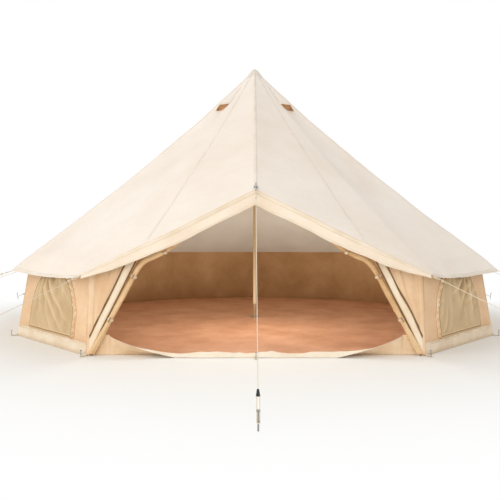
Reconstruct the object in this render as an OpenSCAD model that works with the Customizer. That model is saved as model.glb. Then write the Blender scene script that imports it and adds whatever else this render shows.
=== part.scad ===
// Canvas bell tent: one centre pole, a twelve-cornered wall, a pulled-out door ridge
// and a ring of guy ropes. Front is -Y, the origin is the floor's underside at the pole.

/* [Wall] */
// Radius of the wall's ground corners
base_r = 3000; // [2800:10:3200]
// Radius at which the wall is sewn to the roof
wall_top_r = 2860; // [2780:10:2920]
// The same radius at the two front corners, which stand nearly upright
front_wall_r = 2960; // [2900:5:3000]
// Thickness of the wall canvas with its seams
wall_t = 4; // [3:0.5:6]
// Height of the ground skirt sewn along the wall's foot
skirt_h = 115; // [80:5:160]
// Thickness of the ground skirt
skirt_t = 3; // [2:0.5:5]

/* [Roof] */
// Height of the roof's top at the pole
apex_h = 3410; // [3200:10:3600]
// Radius of the eave corners that the guy ropes pull
tip_r = 3060; // [3000:10:3120]
// The same radius at the two front corners
front_tip_r = 3090; // [3050:10:3150]
// Height of the eave corners
tip_h = 700; // [660:10:740]
// Thickness of the roof canvas with its seams, measured upright
roof_t = 6; // [4:0.5:8]
// Sag of the roof along a seam
seam_sag = 80; // [40:5:110]
// Sag of the roof in the middle of a panel
panel_sag = 150; // [110:5:190]
// How far the eave hem curves in between two corners
hem_bow = 45; // [20:5:70]
// How far the eave hem hangs between two corners
hem_sag = 35; // [10:5:60]

/* [Door] */
// Distance from the pole to the peak of the door
peak_out = 2550; // [2500:10:2580]
// Height of the peak of the door
peak_h = 1470; // [1400:10:1540]
// Distance of the door seam from the middle, along the door hem
seam_x = 980; // [900:10:1060]
// Depth of the valance at the peak
valance_mid = 135; // [110:5:180]
// Depth of the valance at its corners
valance_end = 25; // [15:5:60]
// Thickness of the valance
valance_t = 3; // [2:0.5:5]
// Radius of the rolled door leaves
roll_r = 30; // [22:1:38]
// Width of the sill strip in the middle of the door
sill_mid = 135; // [100:5:160]
// Height of the sill strip where it stands up at the corners
sill_end = 175; // [140:5:200]
// Thickness of the sill strip
sill_t = 3; // [2:0.5:5]

/* [Windows and vents] */
// Width of a window
window_w = 950; // [800:10:1050]
// Height of a window's sill
window_sill = 135; // [125:5:170]
// Height at which the window's sides start to arch
window_spring = 290; // [250:10:340]
// Height of the top of a window's arch
window_top = 750; // [690:10:770]
// Width of a roof vent's mouth
vent_w = 290; // [240:10:340]
// Height of a roof vent's mouth
vent_h = 75; // [60:5:100]
// Distance of the vent's mouth from the pole
vent_r = 650; // [620:10:720]
// Length of the vent's hood, along the roof's plan
vent_len = 370; // [300:10:420]
// Diameter of the hole under each hood
vent_hole_d = 110; // [80:5:140]

/* [Pole and floor] */
// Diameter of the centre pole
pole_d = 42; // [34:1:50]
// Wall of the pole's tube
pole_wall = 2; // [1.5:0.5:3]
// Height of the joint between the pole's two lengths
pole_joint_h = 1690; // [1400:10:1900]
// Length of the upper pole's spigot inside the lower one
spigot_len = 160; // [100:10:220]
// Diameter of the pole's foot plate
foot_d = 130; // [100:5:160]
// Thickness of the foot plate
foot_t = 6; // [4:1:10]
// Thickness of the groundsheet
floor_t = 4; // [3:0.5:6]

/* [Ropes and pegs] */
// Diameter of the guy ropes
rope_d = 6; // [5:0.5:8]
// Distance from the pole to the guy stakes
stake_r = 5100; // [4800:20:5400]
// Distance from the pole to the stake of the door rope
door_stake_r = 4524; // [4300:20:4700]
// Height at which a rope holds its stake
hook_h = 50; // [40:2:70]
// Height of a stake above the ground
stake_h = 120; // [100:5:150]
// Diameter of a stake
stake_d = 10; // [8:1:13]
// Distance from a stake to the slider on its rope
slider_back = 165; // [120:5:220]
// Length of a slider
slider_len = 45; // [35:5:60]
// Length of a rope tab at the eave
tab_len = 85; // [60:5:110]
// Width of a rope tab
tab_w = 46; // [36:2:60]
// Diameter of a ground peg
peg_d = 8; // [6:1:10]
// Height of a ground peg above the ground
peg_h = 60; // [50:5:80]
// Reach of the webbing loop from the wall's foot to its peg
loop_len = 70; // [55:5:90]

/* [Hidden] */

// Gap between pieces that are sewn, laced or set against each other
seat = 0.3;
// Turn from one corner of the wall to the next, and half of it
turn = 30;
half_turn = turn / 2;
// Corners counted round from the right front one: the rear window's, the middle of the back, the last
front_k = 1;
rear_k = 4;
back_k = 6;
last_k = 11;
// Panels with a window, and the columns that a panel is worked out in
window_panels = [front_k, rear_k];
steps = 4;
// Shares of the way from the apex to the wall's top, and on to the hem
top_share = 0.02;
roof_shares = [top_share, 0.1, 0.2, 0.3, 0.42, 0.54, 0.66, 0.78, 0.9, 1];
hem_shares = [0.5, 1];
// Extra sag of the roof between the door ridge and its seam
porch_sag = 20;
// Colours of the canvas, its shaded walls and the fittings
cream = "#efe4d3";
sand = "#dcb98a";
mesh_tan = "#c7a877";
clay = "#b9805f";
steel = "#a9abad";
black = "#26262a";
// The cap covers this share of the way down the roof
cap_share = 0.045;
cap_t = 3;
cap_gap = 0.3;
// Ends of the skirt's pieces stand back from the corners
skirt_end = 1.5;
// Where along its panel a vent sits, from the panel's forward corner
vent_v = 0.36;
vent_t = 4;
// The hole lies this share of the hood's length behind the mouth, which leans outward and up
vent_hole_back = 0.28;
vent_lean = [0.66, 0.75];
// The sill strip stands up between these distances from the middle
sill_x = base_r * sin(turn) - roll_r;
sill_up_x = sill_x * 0.89;
sill_flat_x = sill_x * 0.48;
sill_steps = 24;
sill_rows = [1, 0.5, 0];
// It stands this far behind the rolled door leaves
sill_gap = 8;
// The door leaf is rolled along its zip, leaves it at this share below the top, and hangs in a swag
// to this share of the hem
roll_leave = 0.17;
roll_swag = 60;
// It starts to bend this share below the knee, and the swag is worked out at these shares
roll_bend = 0.1;
roll_stops = [0.15, 0.35, 0.55, 0.78, 1];
roll_sides = 12;
roll_share = 0.36;
roll_drop = 2.1;
roll_foot = 34;
// The valance stops this share of the way to the corner, clear of the rope tab
valance_reach = 0.99;
// Door ring at the end of the ridge
ring_d = 46;
ring_wire = 7;

apex = [0, 0, apex_h];
peak = [0, -peak_out, peak_h];
front_y = base_r * cos(turn);

function polar(r, a, z = 0) = [r * sin(a), -r * cos(a), z];
function mix(p, q, t) = p + (q - p) * t;
function bow(v) = 4 * v * (1 - v);
function lift(p, h) = p + [0, 0, h];

// Corners of the eave, the wall's top and the wall's foot
function tip(k) = polar(k == front_k ? front_tip_r : tip_r, turn * k, tip_h);
function wall_top(k) = k == front_k
    ? mix(apex, tip(k), front_wall_r / front_tip_r)
    : mix(apex, tip(k), wall_top_r / tip_r);
function wall_foot(k) = polar(base_r, turn * k);

// The door's plane leans in from the sill to the two front corners
door_lean = (wall_top(front_k)[1] + front_y) / wall_top(front_k)[2];
function door_cut(e) = (-front_y + door_lean * apex_h) / (e[1] - door_lean * (e[2] - apex_h));

// Door hem from the peak to the right front corner, with the seam's share of it
function hem(u) = mix(peak, tip(front_k), u);
seam_u = seam_x / tip(front_k)[0];

// Eave hem and wall top between corners k and k + 1
function eave(k, v) = mix(tip(k), tip(k + 1), v)
    - polar(hem_bow, turn * k + half_turn, hem_sag) * bow(v);
function wall_line(k, v) = mix(wall_top(k), wall_top(k + 1), v);

// A roof column is its hem point, its point over the wall and its sag
function door_column(u) = let (e = hem(u), s = min(1, u / seam_u))
    [e, mix(apex, e, door_cut(e)), seam_sag * u * s + porch_sag * bow(s)];
function side_column(k, v) = [eave(k, v), wall_line(k, v), mix(seam_sag, panel_sag, bow(v))];
function roof_point(c, s) = mix(apex, c[1], s) - [0, 0, c[2] * bow(s)];
// The same point on the flat facets between two rows of the roof
function facet_point(c, s) =
    let (j = max([for (i = [0:len(roof_shares) - 2]) roof_shares[i] <= s ? i : 0]))
    mix(roof_point(c, roof_shares[j]), roof_point(c, roof_shares[j + 1]),
        (s - roof_shares[j]) / (roof_shares[j + 1] - roof_shares[j]));
function panel_point(k, v, s) = let (i = floor(v * steps))
    mix(facet_point(side_column(k, i / steps), s), facet_point(side_column(k, (i + 1) / steps), s),
        v * steps - i);
function column_points(c) = concat(
    [for (s = roof_shares) roof_point(c, s)],
    [for (s = hem_shares) mix(c[1], c[0], s)]);

porch_columns = [for (i = [0:steps]) door_column(seam_u * i / steps)];
corner_columns = concat(
    [for (i = [0:2]) door_column(mix(seam_u, 1, i / 3))],
    [for (i = [0:steps]) side_column(front_k, i / steps)]);
function panel_columns(k) = [for (i = [0:steps]) side_column(k, i / steps)];

// A sheet between two grids of points, columns to the right and rows downwards from outside
module sheet(outer, inner) {
    nc = len(outer);
    nr = len(outer[0]);
    n = nc * nr;
    points = concat([for (c = outer) each c], [for (c = inner) each c]);
    cells = [for (i = [0:nc - 2]) for (j = [0:nr - 2]) i * nr + j];
    faces = concat(
        [for (p = cells) [p, p + nr, p + nr + 1]],
        [for (p = cells) [p, p + nr + 1, p + 1]],
        [for (p = cells) [n + p, n + p + nr + 1, n + p + nr]],
        [for (p = cells) [n + p, n + p + 1, n + p + nr + 1]],
        [for (j = [0:nr - 2]) [j, j + 1, n + j + 1, n + j]],
        [for (j = [n - nr:n - 2]) [j + 1, j, n + j, n + j + 1]],
        [for (i = [0:nc - 2]) [(i + 1) * nr, i * nr, n + i * nr, n + (i + 1) * nr]],
        [for (i = [0:nc - 2]) let (j = nr - 1)
            [i * nr + j, (i + 1) * nr + j, n + (i + 1) * nr + j, n + i * nr + j]]);
    polyhedron(points, faces);
}

// A plate between two outlines of as many points, the first clockwise from outside
module plate(outer, inner, fan) {
    n = len(outer);
    faces = concat(
        fan,
        [for (f = fan) [n + f[2], n + f[1], n + f[0]]],
        [for (i = [0:n - 1]) let (j = (i + 1) % n) [j, i, n + i, n + j]]);
    polyhedron(concat(outer, inner), faces);
}

// Puts a piece drawn along +X out along the ray at azimuth a
module along_ray(a) { rotate([0, 0, a - 90]) children(); }

// Draws a right-hand piece on the left
module on_left() { mirror([1, 0, 0]) children(); }

// Wall
function inward(k) = -polar(wall_t / cos(half_turn), turn * k);
function wall_point(k, v, h) =
    mix(lift(wall_line(k, v), -seat), mix(wall_foot(k), wall_foot(k + 1), v), h);
function skirt_share(k) = skirt_h / wall_line(k, 0.5)[2];
module wall_panel(k) {
    rows = [0, 0.5, 1 - skirt_share(k), 1];
    outer = [for (i = [0:steps]) [for (h = rows) wall_point(k, i / steps, h)]];
    inner = [for (i = [0:steps]) [for (p = outer[i]) p + mix(inward(k), inward(k + 1), i / steps)]];
    sheet(outer, inner);
}

arch_steps = 16;
module window_prism(k, gap) {
    w = window_w / 2 - gap;
    arch = window_top - window_spring - gap;
    outline = concat(
        [[-w, window_sill + gap], [w, window_sill + gap]],
        [for (i = [0:arch_steps]) let (a = 180 * i / arch_steps)
            [w * cos(a), window_spring + arch * sin(a)]]);
    rotate([0, 0, turn * k + half_turn]) translate([0, -wall_top_r / 2, 0]) rotate([90, 0, 0])
        linear_extrude(base_r) polygon(outline);
}

module wall(k) {
    color(sand) if (len(search(k, window_panels)) > 0) {
        difference() {
            wall_panel(k);
            window_prism(k, 0);
        }
    } else {
        wall_panel(k);
    }
}

module window(k) {
    color(mesh_tan) intersection() {
        wall_panel(k);
        window_prism(k, seat);
    }
}

// The skirt follows the wall's outside, seat away from it
module skirt_piece(k) {
    out = polar(1, turn * k + half_turn);
    side = norm(wall_foot(k + 1) - wall_foot(k));
    e = skirt_end / side;
    function foot_point(i, h) = wall_point(k, mix(e, 1 - e, i / steps), 1 - skirt_share(k) * h);
    sheet(
        [for (i = [0:steps]) [for (h = [1, 0]) foot_point(i, h) + out * (seat + skirt_t)]],
        [for (i = [0:steps]) [for (h = [1, 0]) foot_point(i, h) + out * seat]]);
}
module skirt() { color(cream) for (k = [front_k:back_k - 1]) skirt_piece(k); }

// Triangle of wall between the front corner, the roof and the door's zip
zip_top = lift(mix(apex, hem(seam_u), door_cut(hem(seam_u))), -seat);
module door_flank() {
    k = front_k;
    outer = [wall_foot(k), zip_top, lift(wall_top(k), -seat)];
    inner = [outer[0] + inward(k), outer[1] + [0, wall_t, 0], outer[2] + inward(k)];
    color(sand) plate(outer, inner, [[0, 1, 2]]);
}

// Strip along the sill: it stands behind the rolled leaves and lies out on the ground between
sill_y = -front_y + wall_t / 2 + roll_r + sill_gap;
function sill_share(x) = min(1, max(0, (abs(x) - sill_flat_x) / (sill_up_x - sill_flat_x)));
function sill_point(x, h, t) =
    let (s = sill_share(x), a = asin(s), w = mix(sill_mid, sill_end, s) * h, z = w * sin(a) + t * cos(a))
    [x, sill_y - w * cos(a) + t * sin(a) + door_lean * z, z];
module door_sill() {
    xs = [for (i = [0:sill_steps]) mix(-sill_x, sill_x, i / sill_steps)];
    color(cream) sheet(
        [for (x = xs) [for (h = sill_rows) sill_point(x, h, 0)]],
        [for (x = xs) [for (h = sill_rows) sill_point(x, h, sill_t)]]);
}

module groundsheet() {
    lean = (base_r - wall_top_r) / wall_top(back_k)[2];
    edge = base_r - wall_t / cos(half_turn) - floor_t * lean - seat;
    color(clay) difference() {
        linear_extrude(floor_t)
            polygon([for (k = [front_k:last_k]) let (p = polar(edge, turn * k)) [p[0], p[1]]]);
        translate([-base_r, sill_y + sill_t + 2 * seat - base_r, -floor_t])
            cube([2 * base_r, base_r, 3 * floor_t]);
    }
}

// Roof
module roof_sheet(columns) {
    under = [for (c = columns) column_points(c)];
    sheet([for (c = under) [for (p = c) lift(p, roof_t)]], under);
}
module vent_bore(k, v, d) {
    s = (vent_r - vent_len * vent_hole_back) / wall_top_r;
    p = roof_point(side_column(k, v), s);
    translate([p[0], p[1], p[2] - base_r / 4]) cylinder(h = base_r / 2, d = d);
}
module roof_corner() {
    color(cream) difference() {
        roof_sheet(corner_columns);
        vent_bore(front_k, vent_v, vent_hole_d);
    }
}
module roof_panel(k) { color(cream) roof_sheet(panel_columns(k)); }
module roof_rear() {
    color(cream) difference() {
        roof_sheet(panel_columns(rear_k));
        vent_bore(rear_k, 1 - vent_v, vent_hole_d);
    }
}

// Valance under the door hem
function valance_drop(u) = mix(valance_mid, valance_end, pow(u, 4));
module valance() {
    us = [for (i = [0:2 * steps]) valance_reach * i / (2 * steps)];
    function hang(u, y) = let (p = hem(u) - [0, seat + y, 0])
        [lift(p, roof_t), lift(p, -valance_drop(u) / 2), lift(p, -valance_drop(u))];
    color(cream) sheet([for (u = us) hang(u, valance_t)], [for (u = us) hang(u, 0)]);
}

// Door leaf, rolled along its zip and on under the hem in a swag
roof_down = let (n = cross(tip(front_k) - apex, peak - apex)) n / norm(n);
function roll_hem(u) = mix(apex, hem(u), door_cut(hem(u))) + roof_down * roll_r * roll_drop;
module door_roll() {
    foot = wall_foot(front_k);
    zip = (zip_top - foot) / norm(zip_top - foot);
    low = foot + zip * (roll_foot / zip[2]);
    out = [-zip[2], 0, zip[0]] / norm([zip[2], zip[0]]);
    start = low + out * (roll_r + wall_t * tan(turn) + 3 * seat) + [0, wall_t / 2, 0];
    knee = mix(roll_hem(seam_u), start, roll_leave);
    end = roll_hem(roll_share);
    function swag(t) = lift(mix(knee, end, t), -roll_swag * bow(t));
    path = concat([start, mix(knee, start, roll_bend)], [for (t = roll_stops) swag(t)]);
    last = len(path) - 1;
    front = [0, -1, 0];
    half_side = 180 / roll_sides;
    function side(i) = let (n = cross(front, path[min(i + 1, last)] - path[max(i - 1, 0)])) n / norm(n);
    function half_ring(i, y) = [for (a = [half_side:2 * half_side:180])
        path[i] + (cos(a) * side(i) + sin(a) * y) * roll_r / cos(half_side)];
    color(sand) sheet([for (i = [0:last]) half_ring(i, front)], [for (i = [0:last]) half_ring(i, -front)]);
}

// Vents: a hood of two triangles over a hole with a screen in it
module vent_hood(k, v) {
    s1 = vent_r / wall_top_r;
    s0 = (vent_r - vent_len) / wall_top_r;
    dv = vent_w / 2 / (s1 * norm(wall_top(k + 1) - wall_top(k)));
    function on_roof(w, s) = lift(panel_point(k, w, s), roof_t + 2 * seat);
    out = polar(vent_lean[0], turn * (k + v), vent_lean[1]);
    top = on_roof(v, s0);
    near = on_roof(v - dv, s1);
    far = on_roof(v + dv, s1);
    crown = on_roof(v, s1) + out * vent_h;
    middle = (near + far) / 2;
    across = (far - near) / norm(far - near) * vent_t * 2;
    plate([top, far, crown, near],
        [top + (middle - top) / norm(middle - top) * vent_t * 4, far - across,
            crown - out * vent_t, near + across],
        [[0, 1, 2], [0, 2, 3]]);
}
module hood_pair() {
    vent_hood(front_k, vent_v);
    vent_hood(rear_k, 1 - vent_v);
}
module vent_hoods() {
    color(cream) hood_pair();
    color(cream) on_left() hood_pair();
}
module screen_pair() {
    intersection() {
        roof_sheet(corner_columns);
        vent_bore(front_k, vent_v, vent_hole_d - 2 * seat);
    }
    intersection() {
        roof_sheet(panel_columns(rear_k));
        vent_bore(rear_k, 1 - vent_v, vent_hole_d - 2 * seat);
    }
}
module vent_screens() {
    color(black) screen_pair();
    color(black) on_left() screen_pair();
}

// Cap over the roof's top
right_columns = concat(
    [door_column(0), door_column(seam_u)],
    [for (k = [front_k:back_k - 1]) for (v = [0, 0.5]) side_column(k, v)],
    [side_column(back_k - 1, 1)]);
function flip(p) = [-p[0], p[1], p[2]];
module apex_cap() {
    right = [for (c = right_columns) lift(facet_point(c, cap_share), roof_t + cap_gap)];
    rim = concat(right, [for (i = [len(right) - 2:-1:1]) flip(right[i])]);
    n = len(rim);
    under = lift(apex, roof_t + cap_gap);
    points = concat([lift(under, cap_t * 2), under], [for (p = rim) lift(p, cap_t)], rim);
    color(cream) polyhedron(points, concat(
        [for (i = [0:n - 1]) [0, 2 + (i + 1) % n, 2 + i]],
        [for (i = [0:n - 1]) [1, 2 + n + i, 2 + n + (i + 1) % n]],
        [for (i = [0:n - 1]) [2 + i, 2 + (i + 1) % n, 2 + n + (i + 1) % n, 2 + n + i]]));
}

// Centre pole in two lengths on a foot plate, with a cone that the canvas hangs on
pole_base = floor_t + foot_t;
bore_d = pole_d - 2 * pole_wall;
module pole_foot() {
    boss_h = 60;
    color(steel) translate([0, 0, floor_t]) {
        cylinder(h = foot_t, d = foot_d);
        cylinder(h = foot_t + boss_h, d = bore_d - 2 * seat);
    }
}
module pole_lower() {
    color(steel) translate([0, 0, pole_base]) difference() {
        cylinder(h = pole_joint_h - pole_base, d = pole_d);
        translate([0, 0, -1]) cylinder(h = pole_joint_h, d = bore_d);
    }
}
module pole_upper() {
    mid_r = wall_top_r * cos(half_turn);
    slope = (apex_h - wall_top(back_k)[2] + 4 * panel_sag) / mid_r;
    head_r = 70;
    tip_head_r = 8;
    head_z = apex_h - slope * head_r - 2 * seat;
    head_h = slope * (head_r - tip_head_r);
    color(steel) {
        translate([0, 0, pole_joint_h]) cylinder(h = head_z - pole_joint_h, d = pole_d);
        translate([0, 0, pole_joint_h - spigot_len]) cylinder(h = spigot_len, d = bore_d - 2 * seat);
        translate([0, 0, head_z]) cylinder(h = head_h, r1 = head_r, r2 = tip_head_r);
    }
}

// Ring at the end of the door ridge that the door rope hooks into
ring_out = peak_out + valance_t + 2 * seat + ring_d / 2;
module door_ring() {
    color(steel) translate([0, -ring_out, peak_h]) rotate([0, 90, 0])
        rotate_extrude() translate([ring_d / 2 - ring_wire / 2, 0]) circle(d = ring_wire, $fn = 24);
}

// Guy ropes: tab, rope, slider, loop and stake lie on one line from the eave to the ground
loop_y = stake_d / 2 + rope_d / 2 + seat;
function rope_fall(r0, z0, r1) = atan2(z0 - hook_h, r1 - r0);
function rope_len(r0, z0, r1) = norm([r1 - r0, z0 - hook_h]);
module rope_frame(a, r0, z0, r1) {
    along_ray(a) translate([r0, 0, z0]) rotate([0, rope_fall(r0, z0, r1), 0]) children();
}
module rod_x(x0, x1, y) {
    translate([x0, y, 0]) rotate([0, 90, 0]) cylinder(h = x1 - x0, d = rope_d, $fn = 8);
}
module rope(a, r0, z0, r1, start) {
    l = rope_len(r0, z0, r1);
    rope_frame(a, r0, z0, r1) {
        rod_x(start, l - slider_back - slider_len - seat, 0);
        bend = l + loop_y;
        rod_x(l - slider_back + seat, bend, loop_y);
        rod_x(l - slider_back + seat, bend, -loop_y);
        translate([bend, -loop_y - rope_d / 2, 0]) rotate([-90, 0, 0])
            cylinder(h = 2 * loop_y + rope_d, d = rope_d, $fn = 8);
    }
}
module slider(a, r0, z0, r1) {
    l = rope_len(r0, z0, r1);
    wide = loop_y + rope_d * 0.6;
    narrow = rope_d;
    thick = rope_d * 1.6;
    rope_frame(a, r0, z0, r1) translate([l - slider_back, 0, -thick / 2]) linear_extrude(thick)
        polygon([[0, -wide], [0, wide], [-slider_len, narrow], [-slider_len, -narrow]]);
}
module stake(a, r1) {
    lean = 14;
    head_d = stake_d * 2;
    head_h = stake_d * 0.8;
    along_ray(a) intersection() {
        translate([r1, 0, hook_h]) rotate([0, lean, 0]) {
            translate([0, 0, -2 * stake_h]) cylinder(h = 2 * stake_h + stake_h - hook_h, d = stake_d);
            translate([0, 0, stake_h - hook_h - head_h]) cylinder(h = head_h, d = head_d);
        }
        translate([r1 - 2 * stake_h, -stake_h, 0]) cube([4 * stake_h, 2 * stake_h, 2 * stake_h]);
    }
}
function eave_r(k) = k == front_k ? front_tip_r : tip_r;
tab_t = roof_t - 1;
tab_z = tip_h + roof_t / 2;
module eave_tab(k) {
    end = tab_w * 0.3;
    shoulder = tab_len * 0.4;
    eye_x = tab_len * 0.62;
    eye_d = rope_d * 2.4;
    rope_frame(turn * k, eave_r(k), tab_z, stake_r) translate([seat + tab_t / 4, 0, -tab_t / 2])
        linear_extrude(tab_t) difference() {
            polygon([[0, -end], [0, end], [shoulder, tab_w / 2], [tab_len, end],
                [tab_len, -end], [shoulder, -tab_w / 2]]);
            translate([eye_x, 0]) circle(d = eye_d, $fn = 24);
        }
}
tab_end = tab_len + 2 * seat + tab_t / 4;
module side_rope(k) { rope(turn * k, eave_r(k), tab_z, stake_r, tab_end); }
module eave_tabs() {
    color(cream) for (k = [front_k:back_k]) eave_tab(k);
    color(cream) on_left() for (k = [front_k:back_k - 1]) eave_tab(k);
}
module guy_ropes_right() { color(cream) for (k = [front_k:back_k]) side_rope(k); }
module guy_ropes_left() { color(cream) on_left() for (k = [front_k:back_k - 1]) side_rope(k); }
module door_rope() {
    color(cream) rope(0, ring_out, peak_h, door_stake_r, ring_d / 2 + seat);
}
module guy_sliders() {
    color(black) for (k = [front_k:back_k]) slider(turn * k, eave_r(k), tab_z, stake_r);
    color(black) on_left() for (k = [front_k:back_k - 1]) slider(turn * k, eave_r(k), tab_z, stake_r);
    color(black) slider(0, ring_out, peak_h, door_stake_r);
}
module guy_stakes() {
    color(steel) for (k = [front_k:back_k]) stake(turn * k, stake_r);
    color(steel) on_left() for (k = [front_k:back_k - 1]) stake(turn * k, stake_r);
    color(steel) stake(0, door_stake_r);
}

// Pegs through webbing loops at the wall's corners and in the middle of the sill
loop_t = 3;
loop_w = 30;
skirt_out = skirt_t + 2 * seat;
sill_front = -sill_point(0, 1, 0)[1];
function peg_at(r) = r + loop_len - peg_d * 1.5;
module peg_loop(a, r) {
    along_ray(a) translate([r, 0, 0]) linear_extrude(loop_t) difference() {
        polygon([[0, -loop_w / 2], [0, loop_w / 2], [loop_len - loop_w / 3, loop_w / 2],
            [loop_len, loop_w / 4], [loop_len, -loop_w / 4], [loop_len - loop_w / 3, -loop_w / 2]]);
        translate([peg_at(0), 0]) circle(d = peg_d + 2 * seat, $fn = 24);
    }
}
module peg(a, r) {
    head_h = peg_d * 0.7;
    head_d = peg_d * 2.2;
    along_ray(a) translate([peg_at(r), 0, 0]) {
        cylinder(h = peg_h, d = peg_d);
        translate([0, 0, peg_h - head_h]) cylinder(h = head_h, d = head_d);
    }
}
corner_reach = base_r + skirt_out;
sill_reach = sill_front + seat;
module peg_loops() {
    color(cream) for (k = [front_k:last_k]) peg_loop(turn * k, corner_reach);
    color(cream) peg_loop(0, sill_reach);
}
module ground_pegs() {
    color(steel) for (k = [front_k:last_k]) peg(turn * k, corner_reach);
    color(steel) peg(0, sill_reach);
}

groundsheet();
wall(1);  // wall_corner_right
wall(2);  // wall_side_right
wall(3);  // wall_flank_right
wall(4);  // wall_rear_right
wall(5);  // wall_back_right
on_left() wall(1);  // wall_corner_left
on_left() wall(2);  // wall_side_left
on_left() wall(3);  // wall_flank_left
on_left() wall(4);  // wall_rear_left
on_left() wall(5);  // wall_back_left
door_flank();  // door_flank_right
on_left() door_flank();  // door_flank_left
skirt();  // skirt_right
on_left() skirt();  // skirt_left
door_sill();
window(1);  // window_right_front
window(4);  // window_right_rear
on_left() window(1);  // window_left_front
on_left() window(4);  // window_left_rear
color(cream) roof_sheet(porch_columns);  // roof_porch_right
roof_corner();  // roof_corner_right
roof_panel(2);  // roof_side_right
roof_panel(3);  // roof_flank_right
roof_rear();  // roof_rear_right
roof_panel(5);  // roof_back_right
color(cream) on_left() roof_sheet(porch_columns);  // roof_porch_left
on_left() roof_corner();  // roof_corner_left
on_left() roof_panel(2);  // roof_side_left
on_left() roof_panel(3);  // roof_flank_left
on_left() roof_rear();  // roof_rear_left
on_left() roof_panel(5);  // roof_back_left
valance();  // valance_right
on_left() valance();  // valance_left
door_roll();  // door_roll_right
on_left() door_roll();  // door_roll_left
vent_hoods();
vent_screens();
apex_cap();
pole_foot();
pole_lower();
pole_upper();
door_ring();
eave_tabs();
guy_ropes_right();
guy_ropes_left();
door_rope();
guy_sliders();
guy_stakes();
peg_loops();
ground_pegs();
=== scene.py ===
# %% [markdown]
# # A canvas bell tent
# One centre pole lifts a round of sewn canvas gores, a low wall hangs from them, and a ring of ropes
# pulls the eaves out. The solids are thin plates with flat facets. Here each sheet of cloth becomes one
# smooth grid of points with sag, folds, seams and stitches, worked out as whole numpy arrays.

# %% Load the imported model
import math

import bmesh
import bpy
import numpy as np
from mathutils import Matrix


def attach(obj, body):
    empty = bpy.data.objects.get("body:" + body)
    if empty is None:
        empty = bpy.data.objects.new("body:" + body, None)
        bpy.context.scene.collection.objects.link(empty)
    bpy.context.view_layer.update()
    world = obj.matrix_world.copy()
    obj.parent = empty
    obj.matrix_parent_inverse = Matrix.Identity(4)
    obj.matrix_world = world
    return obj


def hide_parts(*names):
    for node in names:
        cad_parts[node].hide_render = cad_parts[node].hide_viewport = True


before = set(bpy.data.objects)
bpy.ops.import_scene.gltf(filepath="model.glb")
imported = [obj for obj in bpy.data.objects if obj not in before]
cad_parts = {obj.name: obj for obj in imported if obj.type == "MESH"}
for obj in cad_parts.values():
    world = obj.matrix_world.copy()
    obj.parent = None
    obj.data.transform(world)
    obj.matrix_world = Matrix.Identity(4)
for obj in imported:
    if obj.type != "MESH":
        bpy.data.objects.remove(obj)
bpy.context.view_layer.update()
print("solids loaded:", len(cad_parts))

# %% [markdown]
# ## The tent's own measure
# Everything follows from a few sizes, in metres: the pole's height, the rings on which the wall stands
# and hangs, the eave corners that the ropes pull, and the peak of the door. Azimuth counts from the
# door (-Y) round to the right. Corner 1 is the right front corner and corner 6 the middle of the back.

# %% Small tools for points
FLIP = np.array([-1.0, 1.0, 1.0])
FRONT, UP = np.array([0, -1.0, 0]), np.array([0, 0, 1.0])


def polar(r, a, z=0.0):
    """Point at radius r, azimuth a and height z."""
    r, a, z = np.broadcast_arrays(r, a, z)
    return np.stack([r * np.sin(a), -r * np.cos(a), z], -1)


def mix(p, q, t):
    """Straight way from p to q, share t of it."""
    return p + (q - p) * t


def bow(t):
    """Parabola that is 0 at both ends and 1 in the middle."""
    return 4 * t * (1 - t)


def ease(x):
    """Smooth step from 0 to 1."""
    c = np.clip(x, 0, 1)
    return c * c * (3 - 2 * c)


def flip(p):
    """Mirror image on the other side of the door's ridge."""
    return p * FLIP


def sided(q):
    """Factor that leaves points at q >= 0 as they are and mirrors those at q < 0."""
    return np.where(np.asarray(q)[..., None] < 0, FLIP, 1.0)


def unit(v):
    """Direction of v."""
    return v / np.linalg.norm(v, axis=-1, keepdims=True)


def pair(a, b):
    """Two arrays side by side along a new last axis, each spread to their common shape."""
    return np.stack(np.broadcast_arrays(a, b), -1)


def run(path):
    """Length along a path from its first point."""
    return np.concatenate([[0], np.cumsum(np.linalg.norm(np.diff(path, axis=0), axis=1))])


# %% Corners of the eave and the wall
TURN = math.radians(30)
APEX = np.array([0.0, 0.0, 3.41])
PEAK = np.array([0.0, -2.55, 1.47])
BASE_R = 3.0
WALL_TOP_R, FRONT_WALL_R = 2.86, 2.96
TIP_R, FRONT_TIP_R, TIP_H = 3.06, 3.09, 0.70
DOOR_SEAM_X = 0.98
ROOF_T, WALL_T, CLOTH_T = 0.006, 0.004, 0.0025

corner = np.arange(7)
TIPS = polar(np.where(corner == 1, FRONT_TIP_R, TIP_R), TURN * corner, TIP_H)
wall_share = np.where(corner == 1, FRONT_WALL_R / FRONT_TIP_R, WALL_TOP_R / TIP_R)
WALL_TOPS = mix(APEX, TIPS, wall_share[:, None])
WALL_FEET = polar(BASE_R, TURN * corner)
DOOR_SEAM_U = DOOR_SEAM_X / TIPS[1, 0]
DOOR_LEAN = (WALL_TOPS[1, 1] - WALL_FEET[1, 1]) / WALL_TOPS[1, 2]
print("eave corner 1 at", TIPS[1].round(3), "wall corner 1 at", WALL_TOPS[1].round(3))

# %% [markdown]
# ## Meshes from arrays
# A sheet of cloth is two grids of points, its outside and its inside, joined round the edge. The grids
# go into the mesh as whole arrays. Points that coincide, as at the top of the roof, are merged there,
# so poles and seams are closed, and the normals of the closed shell are made to point outwards.

# %% Sheets and pieces
SAME_POINT = 1e-6


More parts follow.
